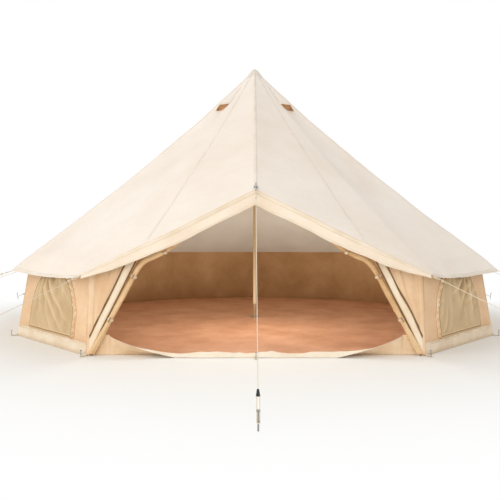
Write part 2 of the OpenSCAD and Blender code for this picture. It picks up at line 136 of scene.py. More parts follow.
def sheet(outer, inner, uv=None, wrap=False, pole=False):
    """Closed shell between two grids (n, m, 3): quads on both, and a rim along each open edge.

    wrap joins the last column to the first, and pole says that the first row is one point."""
    n, m = outer.shape[:2]
    cols = np.arange(n if wrap else n - 1)[:, None]
    rows = np.arange(m - 1)[None, :]
    a = cols * m + rows
    b = (cols + 1) % n * m + rows
    face = np.stack([a, a + 1, b + 1, b], -1).reshape(-1, 4)
    shift = n * m
    parts = [face, face[:, ::-1] + shift]
    first, second = cols[:, 0] * m, (cols[:, 0] + 1) % n * m
    low, high = first + m - 1, second + m - 1
    parts.append(np.stack([low, low + shift, high + shift, high], -1))
    if not pole:
        parts.append(np.stack([second, second + shift, first + shift, first], -1))
    if not wrap:
        r = rows[0]
        parts.append(np.stack([r, r + shift, r + 1 + shift, r + 1], -1))
        r = r + (n - 1) * m
        parts.append(np.stack([r + 1, r + 1 + shift, r + shift, r], -1))
    quads = np.concatenate(parts)
    inside = np.zeros(len(quads), dtype=np.int32)
    inside[len(face):2 * len(face)] = 1
    points = np.concatenate([outer.reshape(-1, 3), inner.reshape(-1, 3)])
    flat = np.zeros((n * m, 2)) if uv is None else uv.reshape(-1, 2)
    return points, quads, np.concatenate([flat, flat]), inside


def mirrored(shell):
    """The same shell on the other side of the door's ridge."""
    return (flip(shell[0]), *shell[1:])


def piece(name, shells, materials, nodes=(), sharp=40):
    """One object from closed shells, riding on the tent, with its inside faces in the second material."""
    counts = np.cumsum([0] + [len(s[0]) for s in shells])
    points = np.concatenate([s[0] for s in shells])
    quads = np.concatenate([s[1] + c for s, c in zip(shells, counts)])
    uv = np.concatenate([s[2] for s in shells])
    inside = np.concatenate([s[3] for s in shells]) % len(materials)
    mesh = bpy.data.meshes.new(name)
    mesh.vertices.add(len(points))
    mesh.vertices.foreach_set("co", points.astype(np.float32).ravel())
    mesh.loops.add(quads.size)
    mesh.loops.foreach_set("vertex_index", quads.astype(np.int32).ravel())
    mesh.polygons.add(len(quads))
    mesh.polygons.foreach_set("loop_start", np.arange(0, quads.size, 4, dtype=np.int32))
    mesh.polygons.foreach_set("material_index", inside.astype(np.int32))
    layer = mesh.uv_layers.new(name="cloth")
    layer.uv.foreach_set("vector", uv[quads.ravel()].astype(np.float32).ravel())
    mesh.update(calc_edges=True)
    work = bmesh.new()
    work.from_mesh(mesh)
    bmesh.ops.remove_doubles(work, verts=work.verts, dist=SAME_POINT)
    bmesh.ops.recalc_face_normals(work, faces=work.faces)
    work.to_mesh(mesh)
    work.free()
    mesh.polygons.foreach_set("use_smooth", np.ones(len(mesh.polygons), dtype=bool))
    mesh.set_sharp_from_angle(angle=math.radians(sharp))
    for m in materials:
        mesh.materials.append(m)
    obj = bpy.data.objects.new(name, mesh)
    bpy.context.scene.collection.objects.link(obj)
    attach(obj, "root")
    if nodes:
        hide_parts(*nodes)
    print(f"{name}: {len(mesh.polygons)} faces")
    return obj


# %% [markdown]
# ## Finishes
# Colours are written as sRGB hex values and turned to linear once. A finish is a tree of nodes, and a small
# class gives each kind of node a short method that returns its result, so that results can be nested.

# %% Node trees
MM = 0.001


def linear(code):
    """sRGB hex to linear RGBA: (c / 12.92) below 0.04045, ((c + 0.055) / 1.055) ** 2.4 above."""
    c = np.array([int(code[i:i + 2], 16) for i in (1, 3, 5)]) / 255
    c = np.where(c <= 0.04045, c / 12.92, ((c + 0.055) / 1.055) ** 2.4)
    return (*c.tolist(), 1.0)


class Nodes:
    """An emptied node tree. Inputs of its nodes are constants, or sockets to link."""

    def __init__(self, owner):
        owner.use_nodes = True
        self.tree = owner.node_tree
        self.tree.nodes.clear()

    def feed(self, node, inputs):
        """Sets or links the inputs of a node."""
        for key, value in inputs.items():
            if isinstance(value, bpy.types.NodeSocket):
                self.tree.links.new(value, node.inputs[key])
            else:
                node.inputs[key].default_value = value

    def add(self, kind, inputs=None, out=0, **settings):
        """Adds a node with its own settings and inputs, and returns its output."""
        node = self.tree.nodes.new("ShaderNode" + kind)
        for key, value in settings.items():
            setattr(node, key, value)
        self.feed(node, inputs or {})
        return node.outputs[out] if node.outputs else node

    def math(self, operation, *values):
        """Sum, product and the like of up to three values."""
        return self.add("Math", dict(enumerate(values)), operation=operation)

    def remap(self, value, low, high, first, last, **settings):
        """Takes the stretch from low to high to the stretch from first to last."""
        return self.add("MapRange", {"Value": value, "From Min": low, "From Max": high,
                                     "To Min": first, "To Max": last}, **settings)

    def blend(self, share, first, second):
        """Colour that goes from the first to the second."""
        return self.add("Mix", {"Factor": share, 6: first, 7: second}, out=2, data_type="RGBA")


class Finish(Nodes):
    """A new material with its shader, its place in the tent (at) and its place on the piece's map (uv)."""

    def __init__(self, name):
        self.material = bpy.data.materials.new(name)
        super().__init__(self.material)
        self.end = self.tree.nodes.new("ShaderNodeOutputMaterial")
        self.shader = self.tree.nodes.new("ShaderNodeBsdfPrincipled")
        self.feed(self.end, {0: self.shader.outputs[0]})
        self.at, self.uv = (self.add("TexCoord", out=o) for o in ("Object", "UV"))

    def noise(self, scale, detail, at=None, **more):
        """Noise with that many features to the metre."""
        at = self.at if at is None else at
        return self.add("TexNoise", {"Vector": at, "Scale": scale, "Detail": detail, **more}, out="Fac")

    def scaled(self, at, scale):
        """Coordinates times three factors."""
        return self.add("Mapping", {"Vector": at, "Scale": scale})

    def axis(self, at, letter):
        """One coordinate by itself."""
        return self.add("SeparateXYZ", {0: at}, out=letter)

    def beat(self, size_mm):
        """Runs from 0 to 1 once in each size_mm along a band."""
        return self.math("FRACT", self.math("MULTIPLY", self.axis(self.uv, "Y"), 1 / (size_mm * MM)))

    def ramp(self, share, places, tones):
        """Colour ramp through hex tones at those places."""
        node = self.tree.nodes.new("ShaderNodeValToRGB")
        self.feed(node, {"Fac": share})
        while len(node.color_ramp.elements) < len(tones):
            node.color_ramp.elements.new(0.5)
        for element, place, tone in zip(node.color_ramp.elements, places, tones):
            element.position, element.color = place, linear(tone)
        return node.outputs["Color"]

    def close(self, colour, height, strength, depth, **inputs):
        """Gives the shader its colour, a bump and its other inputs, and returns the material."""
        bump = self.add("Bump", {"Height": height, "Strength": strength, "Distance": depth})
        inputs = {key.replace("_", " "): value for key, value in inputs.items()}
        self.feed(self.shader, {"Base Color": colour, "Normal": bump, **inputs})
        return self.material


# %% [markdown]
# Each cloth has the same build: a warm base that drifts in tone, slubs from the weave as stretched noise,
# and a bump of weave and small creases. A seam shows as a doubled band with two rows of stitches.
# The band carries its own map in metres, across and along, so the stitches follow it round every curve.

# %% Kinds of finish
THREAD_MM, STITCH_MM, TOOTH_MM, HOLE_MM = 5.0, 8.0, 5.0, 5.0
WAVE_BAND = 0.16  # width in metres of one band of a wave texture of scale 1
SLUB_TONE = 0.22
SHINE = 0.2


def woven(name, tones, drift_m=0.9, slub_mm=(90, 9), rough=0.88, bump=0.25, dirt=None):
    """Woven cloth. tones run from shade to light along a slow drift, slubs are long thin noise both ways,
    and the thread is two crossed waves. dirt = (hex, height in metres) stains the foot of the cloth."""
    f = Finish(name)
    drift = f.noise(1 / drift_m, 3.0, Roughness=0.55)
    along, thin = (1 / (size * MM) for size in slub_mm)
    slub = f.math("ADD", *(f.noise(1.0, 1.0, f.scaled(f.at, scale))
                           for scale in ((thin, thin, along), (along, along, thin))))
    tone = f.math("ADD", f.math("MULTIPLY_ADD", slub, SLUB_TONE, -SLUB_TONE), drift)
    colour = f.ramp(tone, (0.30, 0.52, 0.74), tones)
    if dirt:
        stain, height = dirt
        edge = f.math("MULTIPLY_ADD", f.noise(7.0, 4.0, Roughness=0.65), height, height / 2)
        share = f.remap(f.axis(f.at, "Z"), 0.0, edge, 0.55, 0.0, interpolation_type="SMOOTHSTEP")
        colour = f.blend(share, colour, linear(stain))
    wave = {"Vector": f.at, "Scale": WAVE_BAND / (THREAD_MM * MM), "Distortion": 0.6}
    weave = f.math("MULTIPLY", *(f.add("TexWave", wave, out="Fac", bands_direction=way) for way in "ZX"))
    high = f.math("MULTIPLY_ADD", weave, 0.015, f.noise(5.0, 5.0, Roughness=0.6, Distortion=0.5))
    high = f.math("MULTIPLY_ADD", slub, 0.15, high)
    return f.close(colour, high, bump, 0.02, Roughness=rough, Specular_IOR_Level=SHINE,
                   Sheen_Weight=0.08, Sheen_Roughness=0.5)


def stitched(name, tones, row_mm, thread="#b9a07a"):
    """Doubled cloth with two rows of stitches at row_mm either side of the middle, in dashes."""
    f = Finish(name)
    off = f.math("ABSOLUTE", f.axis(f.uv, "X"))
    away = f.math("ABSOLUTE", f.math("SUBTRACT", off, row_mm * MM))
    row = f.remap(away, 0.8 * MM, 1.6 * MM, 1.0, 0.0)
    stitch = f.math("MULTIPLY", row, f.math("LESS_THAN", f.beat(STITCH_MM), 0.68))
    colour = f.ramp(f.noise(6.0, 4.0), (0.3, 0.5, 0.7), tones)
    high = f.math("MULTIPLY_ADD", stitch, -0.6, f.noise(45.0, 2.0))
    return f.close(f.blend(stitch, colour, linear(thread)), high, 0.5, 0.006,
                   Roughness=0.85, Specular_IOR_Level=SHINE)


def mesh_cloth(name, ground, thread, crease_shade_tone):
    """Fine mesh: threads both ways on the piece's own map, ground between them, with painted shade in
    creases.
    """
    f = Finish(name)
    per_hole = 1 / (HOLE_MM * MM)
    holes = f.add("TexBrick", {
        "Vector": f.scaled(f.uv, (per_hole, per_hole, 1.0)), "Color1": linear(ground),
        "Color2": linear(ground), "Mortar": linear(thread), "Scale": 1.0, "Mortar Size": 0.22,
        "Brick Width": 1.0, "Row Height": 1.0,
    }, offset=0.0)
    drift = f.noise(4.0, 4.0)
    colour = f.blend(0.5, holes, f.ramp(drift, (0.3, 0.7), (ground, thread)))
    # Painted shade: a darker tone where the mesh curves into a crease.
    crease_shade = f.remap(f.add("NewGeometry", out="Pointiness"), 0.47, 0.51, 0.75, 0.0)
    return f.close(f.blend(crease_shade, colour, linear(crease_shade_tone)), drift, 0.5, 0.03,
                   Roughness=0.8, Specular_IOR_Level=SHINE)


def zipper(name, tape, teeth):
    """Coil zip: cloth tape with a darker row of teeth down the middle."""
    f = Finish(name)
    middle = f.remap(f.math("ABSOLUTE", f.axis(f.uv, "X")), 4 * MM, 6 * MM, 1.0, 0.0)
    share = f.math("MULTIPLY", middle, f.remap(f.beat(TOOTH_MM), 0.4, 0.6, 1.0, 0.45))
    return f.close(f.blend(share, linear(tape), linear(teeth)), share, 0.7, 0.004, Roughness=0.6)


def hard(name, tones, metallic, rough, grain_mm, bump):
    """Hard finish: tone and roughness drift over grain of that size, with a fine bump."""
    f = Finish(name)
    grain = f.noise(1 / (grain_mm * MM), 4.0)
    gloss = f.remap(grain, 0.0, 1.0, rough - 0.12, rough + 0.12)
    return f.close(f.ramp(grain, (0.3, 0.7), tones), grain, bump, 0.001, Roughness=gloss, Metallic=metallic)


# %% [markdown]
# Cotton canvas is a dense plain weave, proofed and bleached by weather to a warm cream. Its single
# threads are under a millimetre and can't show from some strides away, so slubs and a coarser thread stand
# for them. The walls hang in their own shade and let warm light through, so they are painted tan for that
# shade and glow, and the inside faces of the tent are painted darker still as its shade. The coated skirt
# takes splashed mud.

# %% Finishes of the tent
# Cotton canvas of the roof, of its cap and of the valance: cream. Its inside faces, on the roof
# and the valance, are painted a darker grey-beige as the shade inside the tent.
roof_canvas = woven("cotton_canvas_roof", ("#ece0d3", "#f1e7dc", "#f5ede4"), bump=0.2)
roof_inside_painted_shade = woven("cotton_canvas_roof_inside", ("#cecbbe", "#d7d4c7", "#dfdccf"), bump=0.2)
cap_canvas = woven("reinforced_cap_canvas", ("#ddd4c7", "#e4dbcf", "#ebe3d8"), drift_m=0.06, bump=0.5)
valance_canvas = woven("cotton_canvas_valance", ("#eedcc5", "#f3e3cf", "#f7ead9"), drift_m=0.4, bump=0.3)
# The same canvas in the walls and the door leaves, painted tan for the shade and the light behind it.
# The inside of the wall is painted a darker brown as the shade and warm bounced light inside the tent.
wall_canvas = woven("cotton_canvas_wall", ("#e2bb93", "#ebc8a2", "#f2d4b2"), drift_m=0.5, bump=0.4,
                    dirt=("#c79c6e", 0.25))
wall_inside_painted_shade = woven("cotton_canvas_wall_inside", ("#ab8458", "#b89166", "#c49e74"), drift_m=0.5, bump=0.4)
leaf_canvas = woven("cotton_canvas_door_leaf", ("#d5ac7c", "#e5c193", "#f0d3aa"), drift_m=0.3, bump=0.5)
# Coated cloth: pale skirt and sill, and a brown floor with some gloss. The sill's outside face,
# seen on its standing corners, is painted tan as the shade there.
skirt_canvas = woven("coated_skirt_canvas", ("#dfcbb0", "#ead9c1", "#f0e2cd"), drift_m=0.25, bump=0.5,
                     dirt=("#c2a681", 0.05))
sill_canvas = woven("coated_sill_canvas", ("#ecdcc4", "#f3e7d3", "#f8eedd"), drift_m=0.2, bump=0.6)
sill_outside_painted_shade = woven("coated_sill_outside", ("#e2c19b", "#eed1ae", "#f5dec1"), drift_m=0.2, bump=0.6)
floor_cloth = woven("woven_coated_floor", ("#c0855e", "#d0966f", "#dda782"), drift_m=0.45, slub_mm=(60, 8),
                    rough=0.6, bump=0.5)
# Narrow cotton webbing: a tight, coarse weave.
webbing = woven("cotton_webbing", ("#d8c8ae", "#e6d8c0", "#efe4d0"), drift_m=0.1, slub_mm=(30, 4), bump=0.4)
# Doubled and stitched cloth, each in the tone of the cloth that it is sewn to.
seam_band = stitched("felled_canvas_seam", ("#e6dacb", "#ece1d4", "#f1e8dd"), 12, "#dccdb8")
valance_edge = stitched("valance_binding", ("#e9d6bd", "#efdfc9", "#f4e6d3"), 11, "#d9c3a3")
wall_band = stitched("felled_wall_seam", ("#dcb48a", "#e5c099", "#edcca8"), 9, "#cca478")
skirt_hem = stitched("felled_skirt_hem", ("#d8c3a5", "#e6d3b8", "#eedec7"), 20, "#c2a682")
facing_band = stitched("door_facing", ("#ecd6b6", "#f2dfc4", "#f6e7d0"), 21, "#cfb48c")
corner_cloth = stitched("doubled_corner_canvas", ("#e5c099", "#edcba6", "#f3d7b5"), 25, "#cca478")
frill_cloth = stitched("gathered_canvas_edge", ("#dcb68c", "#edcda6", "#f6e2c6"), 12, "#a5814f")
tab_band = stitched("doubled_webbing_tab", ("#d2c0a2", "#dfd0b6", "#e9dcc6"), 15)
# Insect mesh, khaki in the windows and brown in the vents, its last tone the painted shade in its
# creases; and nylon coil zips on cloth tape.
window_mesh = mesh_cloth("insect_mesh", "#c1a177", "#ead1ab", "#94754b")
vent_mesh = mesh_cloth("vent_mesh", "#b5835a", "#d8ad82", "#8a5f3e")
door_zip = zipper("coil_zip", "#a07c50", "#6b4e2e")
window_coil = zipper("window_coil_zip", "#d9b88a", "#6f5434")
# Zinc on steel: grey, softly spangled, half rough.
galvanised = hard("galvanised_steel", ("#8c8f92", "#b4b7b9"), 1.0, 0.42, 6.0, 0.2)
# Paint on a drawn tube: cream, slightly glossy, with a faint orange peel.
pole_paint = hard("painted_steel_tube", ("#b9a381", "#c9b491"), 0.0, 0.4, 3.0, 0.15)
# Moulded nylon: black, with a fine matt texture.
nylon = hard("moulded_nylon", ("#17171a", "#222226"), 0.0, 0.5, 1.5, 0.2)
# Turned beech: pale brown, oiled by hands.
beech = hard("turned_beech", ("#a97c4c", "#c09563"), 0.0, 0.5, 8.0, 0.3)
# Three-strand cotton rope: soft and cream.
rope_cotton = hard("twisted_cotton_rope", ("#d6c8ac", "#efe5d0"), 0.0, 0.85, 5.0, 0.6)
print("finishes made:", len(bpy.data.materials))

# %% [markdown]
# ## Slack and pull
# Canvas is never quite flat. A few dozen sine waves in seeded directions give slow slack, and folds fan
# out from every corner that a rope pulls, dying away within a stride.

# %% Waves for slack cloth
SEED = 11
FAN_FOLDS, FAN_REACH, FAN_START = 13, 0.4, 0.08
FOLD_ROUND = 0.03
seeded = np.random.default_rng(SEED)


def waves(count, shortest, longest):
    """Wave vectors and phases of that many sines with lengths between two sizes in metres."""
    way = seeded.normal(size=(count, 3))
    way /= np.linalg.norm(way, axis=1, keepdims=True)
    length = seeded.uniform(shortest, longest, count)
    return way * (2 * np.pi / length)[:, None], seeded.uniform(0, 2 * np.pi, count)


def slack(p, family):
    """Sum of the family's sines at points p over the root of their number, mostly between -1 and 1."""
    k, phase = family
    return np.sin(p @ k.T + phase).sum(-1) / math.sqrt(len(phase))


BROAD = waves(16, 0.55, 1.5)
SMALL = waves(24, 0.14, 0.35)
PULLS = np.concatenate([TIPS[1:], flip(TIPS[1:6]), PEAK[None]])


def pull_folds(p):
    """Folds that fan from each pulled corner: cosine of a multiple of the bearing, nil at the corner itself
    and fading with distance."""
    total = np.zeros(p.shape[:-1])
    for tip in PULLS:
        d = p[..., :2] - tip[:2]
        dist = np.hypot(d[..., 0], d[..., 1])
        bearing = np.arctan2(d[..., 0] * tip[1] - d[..., 1] * tip[0], -(d @ tip[:2]))
        total += np.exp(-dist / FAN_REACH) * (1 - np.exp(-dist / FAN_START)) * np.cos(FAN_FOLDS * bearing)
    return total


def fold(a):
    """Section of a fold: one minus the size of a sine, a little rounded, so that it has a narrow back."""
    return 1 - np.sqrt(np.sin(a) ** 2 + FOLD_ROUND)


print("points that are pulled:", len(PULLS))

# %% [markdown]
# ## The roof
# The roof could be twelve gores, each its own mesh, but the eye follows the folds across the seams, so it
# is one continuous sheet. Its column number q runs from -7 at the back, through 0 on the door's
# ridge, round to 7 at the back again. 1 is the door seam, and 2 to 7 are the eave corners. Its row s
# is 0 at the top, 1 where the wall is sewn on and 2 at the hem.

# %% The roof as a function of column and row
SEAM_SAG, PANEL_SAG, DOOR_SAG = 0.080, 0.150, 0.020
HEM_BOW, HEM_SAG = 0.045, 0.035
BROAD_LIFT, SMALL_LIFT, FAN_LIFT = 0.005, 0.0018, 0.006
STILL_TOP, STILL_WALL, STILL_EAVE = 0.08, 0.15, 0.6  # rows over which the folds set in


def door_cut(e):
    """Share of the way from the top to hem point e at which the roof meets the door's leaning plane."""
    return (WALL_FEET[1, 1] + DOOR_LEAN * APEX[2]) / (e[..., 1] - DOOR_LEAN * (e[..., 2] - APEX[2]))


def roof_column(q):
    """Hem point, point over the wall and sag of column q: straight hem at the door, else bowed."""
    a = np.abs(q)
    u = np.where(a < 1, a * DOOR_SEAM_U, mix(DOOR_SEAM_U, 1.0, np.clip(a - 1, 0, 1)))
    hem_d = mix(PEAK, TIPS[1], u[..., None])
    wall_d = mix(APEX, hem_d, door_cut(hem_d)[..., None])
    t = np.minimum(1, u / DOOR_SEAM_U)
    sag_d = SEAM_SAG * u * t + DOOR_SAG * bow(t)
    k = np.clip(np.floor(a - 1).astype(int), 1, 5)
    v = np.clip(a - 1 - k, 0, 1)
    drawn = polar(HEM_BOW, TURN * (k + 0.5), HEM_SAG)
    hem_s = mix(TIPS[k], TIPS[k + 1], v[..., None]) - drawn * bow(v)[..., None]
    wall_s = mix(WALL_TOPS[k], WALL_TOPS[k + 1], v[..., None])
    sag_s = mix(SEAM_SAG, PANEL_SAG, bow(v))
    door, turn = (a < 2)[..., None], sided(q)
    hem, wall_line = np.where(door, hem_d, hem_s) * turn, np.where(door, wall_d, wall_s) * turn
    return hem, wall_line, np.where(a < 2, sag_d, sag_s)


def cloth_lift(p):
    """Height that slack and folds add to the roof at points p."""
    return BROAD_LIFT * slack(p, BROAD) + SMALL_LIFT * slack(p, SMALL) + FAN_LIFT * pull_folds(p)


def roof_point(q, s, up=0.0):
    """Top to wall on a hanging parabola, then straight to the hem, with slack and folds added upright.

    The folds are nil where the wall is sewn on, so that the wall meets the roof."""
    q, s = np.broadcast_arrays(np.asarray(q, float), np.asarray(s, float))
    hem, wall_line, sag = roof_column(q)
    t, o = np.clip(s, 0, 1), np.clip(s - 1, 0, 1)
    p = mix(APEX, wall_line, t[..., None]) + (hem - wall_line) * o[..., None]
    free = np.where(s < 1, ease((1 - s) / STILL_WALL) * ease(s / STILL_TOP), ease((s - 1) / STILL_EAVE))
    p[..., 2] += up - sag * bow(t) + free * cloth_lift(p)
    return p


GORE_COLUMNS = 28
columns = np.linspace(-7, 7, 14 * GORE_COLUMNS, endpoint=False)[:, None]
rows = np.concatenate([np.linspace(0, 1, 84), np.linspace(1, 2, 10)[1:]])[None, :]
roof_outer = roof_point(columns, rows, ROOF_T)
roof_inner = roof_point(columns, rows, ROOF_T - CLOTH_T)
SIDES = ("right", "left")
GORES = ("porch", "corner", "side", "flank", "rear", "back")
roof = piece("roof", [sheet(roof_outer, roof_inner, wrap=True, pole=True)], [roof_canvas, roof_inside_painted_shade],
             [f"roof_{g}_{side}" for g in GORES for side in SIDES], sharp=80)

# %% [markdown]
# The gores meet in felled seams: two edges folded into each other and stitched twice. Each seam is a
# band of constant width laid on the roof's own surface, so it dips and folds with the cloth. The hem at
# the eave is a wider band, turned up.

# %% Roof seams and hems
SEAM_HALF, HEM_HALF = 0.018, 0.020
BAND_LIFT, BAND_SUNK, BAND_POINTS = 0.0022, 0.001, 7
SEAM_ROWS, HEM_ROWS = (0.035, 1.995), (1.83, 1.999)
SMALL_STEP = 0.02


def across(half):
    """Places across a band from edge to edge, and its rounded height there."""
    b = np.linspace(-1, 1, BAND_POINTS)
    return b * half, BAND_LIFT * (1 - b ** 6)


def band(outer, inner, off):
    """Closed band between two grids, with its map in metres: across, and along its middle."""
    return sheet(outer, inner, pair(off[:, None], run(outer[len(outer) // 2])[None, :]))


def gore_width(q, s):
    """Width of one column's step at column q and row s."""
    step = roof_point(q + SMALL_STEP, s) - roof_point(q - SMALL_STEP, s)
    return np.linalg.norm(step, axis=-1) / (2 * SMALL_STEP)


def roof_seam(q0):
    """Band down column q0: its half width over the gore's width there gives the columns."""
    s = np.linspace(*SEAM_ROWS, 120)
    off, lift = across(SEAM_HALF)
    q = q0 + off[:, None] / gore_width(q0, s)[None, :]
    outer = roof_point(q, s[None, :], ROOF_T + lift[:, None])
    return band(outer, roof_point(q, s[None, :], ROOF_T - BAND_SUNK), off)


def roof_hem(q0, q1):
    """Turned-up hem at the eave from column q0 to q1."""
    q = np.linspace(q0, q1, 360)[None, :]
    s = np.linspace(*HEM_ROWS, BAND_POINTS)[:, None]
    off, lift = across(HEM_HALF)
    return band(roof_point(q, s, ROOF_T + lift[:, None]), roof_point(q, s, ROOF_T - BAND_SUNK), off)


seam_shells = [roof_seam(q) for q in (0, 1, -1, 3, -3, 4, -4, 5, -5, 6, -6, 6.999)]
seam_shells += [roof_hem(2, 6.998), roof_hem(-6.998, -2)]
roof_seams = piece("roof_seams", seam_shells, [seam_band])

# %% The cap over the pole's head
CAP_SHARE, CAP_DOME, CAP_OUT, CAP_IN = 0.045, 0.125, 0.0058, 0.0015
cap_s = np.linspace(0, CAP_SHARE, 24)
cap_dome = CAP_DOME * (cap_s / CAP_SHARE) * (1 - cap_s / CAP_SHARE) ** 2
cap_outer = roof_point(columns[::4], cap_s[None, :], ROOF_T + CAP_OUT + cap_dome)
cap_inner = roof_point(columns[::4], cap_s[None, :], ROOF_T + CAP_IN)
cap = piece("apex_cap_cloth", [sheet(cap_outer, cap_inner, wrap=True, pole=True)], [cap_canvas],
            ["apex_cap"])

# %% [markdown]
# ## Vents
# A triangular hood is sewn over a screened hole near the top. It is a fold of cloth that rises from
# nothing at its upper point to a stiffened arch at its mouth. Its base lies on the roof's own surface.

# %% Vent hoods and their mesh
VENT_R, VENT_LEN, VENT_W, VENT_H = 0.65, 0.37, 0.29, 0.075
VENT_V = 0.36
VENT_PLACES = ((1, VENT_V), (4, 1 - VENT_V))  # front and rear gore, and how far across it
VENT_OUT, VENT_UP = 0.66, 0.75  # parts of the roof's normal, outwards and upwards
SCREEN_SHARE, MOUTH_A, RIM_A, RIM_HALF = 0.8, (0.955, 0.93), (0.90, 1.0), 0.018
HOOD_STEPS, RIM_STEPS, SCREEN_STEPS, MOUTH_UP = (0.004, 0.0015), (0.0065, 0.0035), (0.004, 0.001), 0.002


def vent(q0, azimuth):
    """Hood, meshes, rim and hood grid of the vent at column q0. Its base is a triangle on the roof, with a
    running down to the mouth and b across. The cloth stands out by the mouth's height times
    a ** 1.1 * (1 - |b| ** 1.2), the mesh in the mouth by shares of that."""
    s0, s1 = (VENT_R - VENT_LEN) / WALL_TOP_R, VENT_R / WALL_TOP_R
    half = VENT_W / 2 / gore_width(q0, s1)
    out = polar(VENT_OUT, azimuth, VENT_UP) * sided(q0)
    b = np.linspace(-1, 1, 21)[:, None]

    def over(b, a, up, stand=1.0, step=0.0):
        height = VENT_H * a ** 1.1 * (1 - np.abs(b) ** 1.2) * stand + step
        return roof_point(q0 + b * a * half, mix(s0, s1, a), ROOF_T + up) + out * height[..., None]

    a = np.linspace(0.02, 1, 16)[None, :]
    hood, lining = (over(b, a, 0, step=step) for step in HOOD_STEPS)
    low, x = b * SCREEN_SHARE, b * VENT_W / 2
    screen = sheet(*(over(low, a, up, 0) for up in SCREEN_STEPS), pair(x, a * VENT_LEN))
    stand = np.linspace(0, 1, 7)[None, :]
    mouth = sheet(*(over(b, deep, MOUTH_UP, stand) for deep in MOUTH_A), pair(x, stand * VENT_H))
    rim_a = np.linspace(*RIM_A, 5)[None, :]
    rim_off = np.linspace(-RIM_HALF, RIM_HALF, 5)[None, :]
    rim = sheet(*(over(b, rim_a, 0, step=step) for step in RIM_STEPS), pair(rim_off, x))
    return sheet(hood, lining), [screen, mouth], rim, hood


vents = [vent(side * (k + 1 + v), TURN * (k + v)) for side in (1, -1) for k, v in VENT_PLACES]
# The hood's lining takes the door leaves' tan, painted as the shade under the hood.
hoods = piece("vent_hood_cloth", [v[0] for v in vents], [roof_canvas, leaf_canvas],
              ["vent_hoods"], sharp=60)
piece("vent_screen_mesh", [shell for v in vents for shell in v[1]], [vent_mesh], ["vent_screens"])
vent_rims = piece("vent_rims", [v[2] for v in vents], [seam_band])

# %% [markdown]
# ## The wall
# The wall hangs from the roof on a ring of twelve corners and ends at the two door zips, so it is one long
# sheet as well. Its place g along the wall is 0 at the right zip, 1 to 11 at the corners and 12 at the left
# zip. h is 0 at the roof and 1 at the ground. Gathers hang from the seam, and slack shows lower down.

# %% The wall as a function of place and height
ZIP_HEM = mix(PEAK, TIPS[1], DOOR_SEAM_U)
ZIP_TOP = mix(APEX, ZIP_HEM, door_cut(ZIP_HEM))
ZIP_FOOT = WALL_FEET[1] + np.array([-0.03, 0, 0])
right_tops = np.concatenate([ZIP_TOP[None], WALL_TOPS[1:]])
right_feet = np.concatenate([ZIP_FOOT[None], WALL_FEET[1:]])
RING_TOP = np.concatenate([right_tops, flip(right_tops[-2::-1])])
RING_FOOT = np.concatenate([right_feet, flip(right_feet[-2::-1])])
PANEL_W, GATHER_LEN, TUCK = 1.55, 0.19, 0.003
GATHER_OUT, DRAWN_OUT, BROAD_OUT, SMALL_OUT = 0.004, 0.007, 0.010, 0.004


def panel_width(k, h):
    """Width of wall panel k at height h."""
    top, foot = (np.linalg.norm(ring[k + 1] - ring[k]) for ring in (RING_TOP, RING_FOOT))
    return mix(top, foot, h)


def wall_point(g, h, out=0.0):
    """Straight from the roof to the ground between corners, moved out by the given step and by the sum of
    gathers under the roof, slanting folds on the flanks and slack, all of them nil at the corners."""
    g, h, out = np.broadcast_arrays(np.asarray(g, float), np.asarray(h, float), np.asarray(out, float))
    k = np.clip(np.floor(g).astype(int), 0, 11)
    v = (g - k)[..., None]
    top = mix(RING_TOP[k], RING_TOP[k + 1], v) + UP * TUCK
    p = mix(top, mix(RING_FOOT[k], RING_FOOT[k + 1], v), h[..., None])
    place = g * PANEL_W
    gather = np.sin(2 * np.pi * place / GATHER_LEN + 1.7 * np.sin(3.1 * place))
    gather = gather * (1 - h) ** 1.5 * ease(h / 0.1)
    loose = BROAD_OUT * slack(p, BROAD) + SMALL_OUT * slack(p, SMALL)
    flank = np.minimum(g, 12 - g)
    drawn = np.sin(2 * np.pi * (flank * 4.2 + 0.9 * h)) * (1 - h) * ease(h / 0.15) * (flank < 1)
    free = bow(g - np.floor(g)) ** 0.5
    move = out + free * (GATHER_OUT * gather + DRAWN_OUT * drawn + bow(h) * loose)
    p[..., :2] += unit(p[..., :2]) * move[..., None]
    return p


wall_g = np.linspace(0, 12, 12 * 34 + 1)[:, None]
wall_h = np.linspace(0, 1, 40)[None, :]
wall_outer = wall_point(wall_g, wall_h)
PANELS = ("wall_corner", "wall_side", "wall_flank", "wall_rear", "wall_back", "door_flank")
wall = piece("wall", [sheet(wall_outer, wall_point(wall_g, wall_h, -CLOTH_T))], [wall_canvas, wall_inside_painted_shade],
             [f"{p}_{side}" for p in PANELS for side in SIDES], sharp=80)

# %% Wall seams and skirt
SKIRT_H, SKIRT_SHARE, SKIRT_T = 0.115, 0.135, 0.003
SKIRT_OUT, SKIRT_FLARE, SKIRT_WAVE = 0.0015, 0.002, 0.003
SKIRT_HEM_HALF, SKIRT_HEM_ROWS, SKIRT_HEM_OUT = 0.014, (0.02, 0.22), (0.0068, 0.0035)


def wall_seam(g0):
    """Upright band on the wall at place g0."""
    h = np.linspace(0.01, 1.0, 50)[None, :]
    off, lift = across(SEAM_HALF)
    g = g0 + off[:, None] / PANEL_W
    return band(wall_point(g, h, 0.0006 + lift[:, None]), wall_point(g, h, -BAND_SUNK), off)


def skirt_point(h, out):
    """Point on the skirt's line, h down the skirt."""
    return wall_point(skirt_g, 1 - SKIRT_SHARE * (1 - h), out)


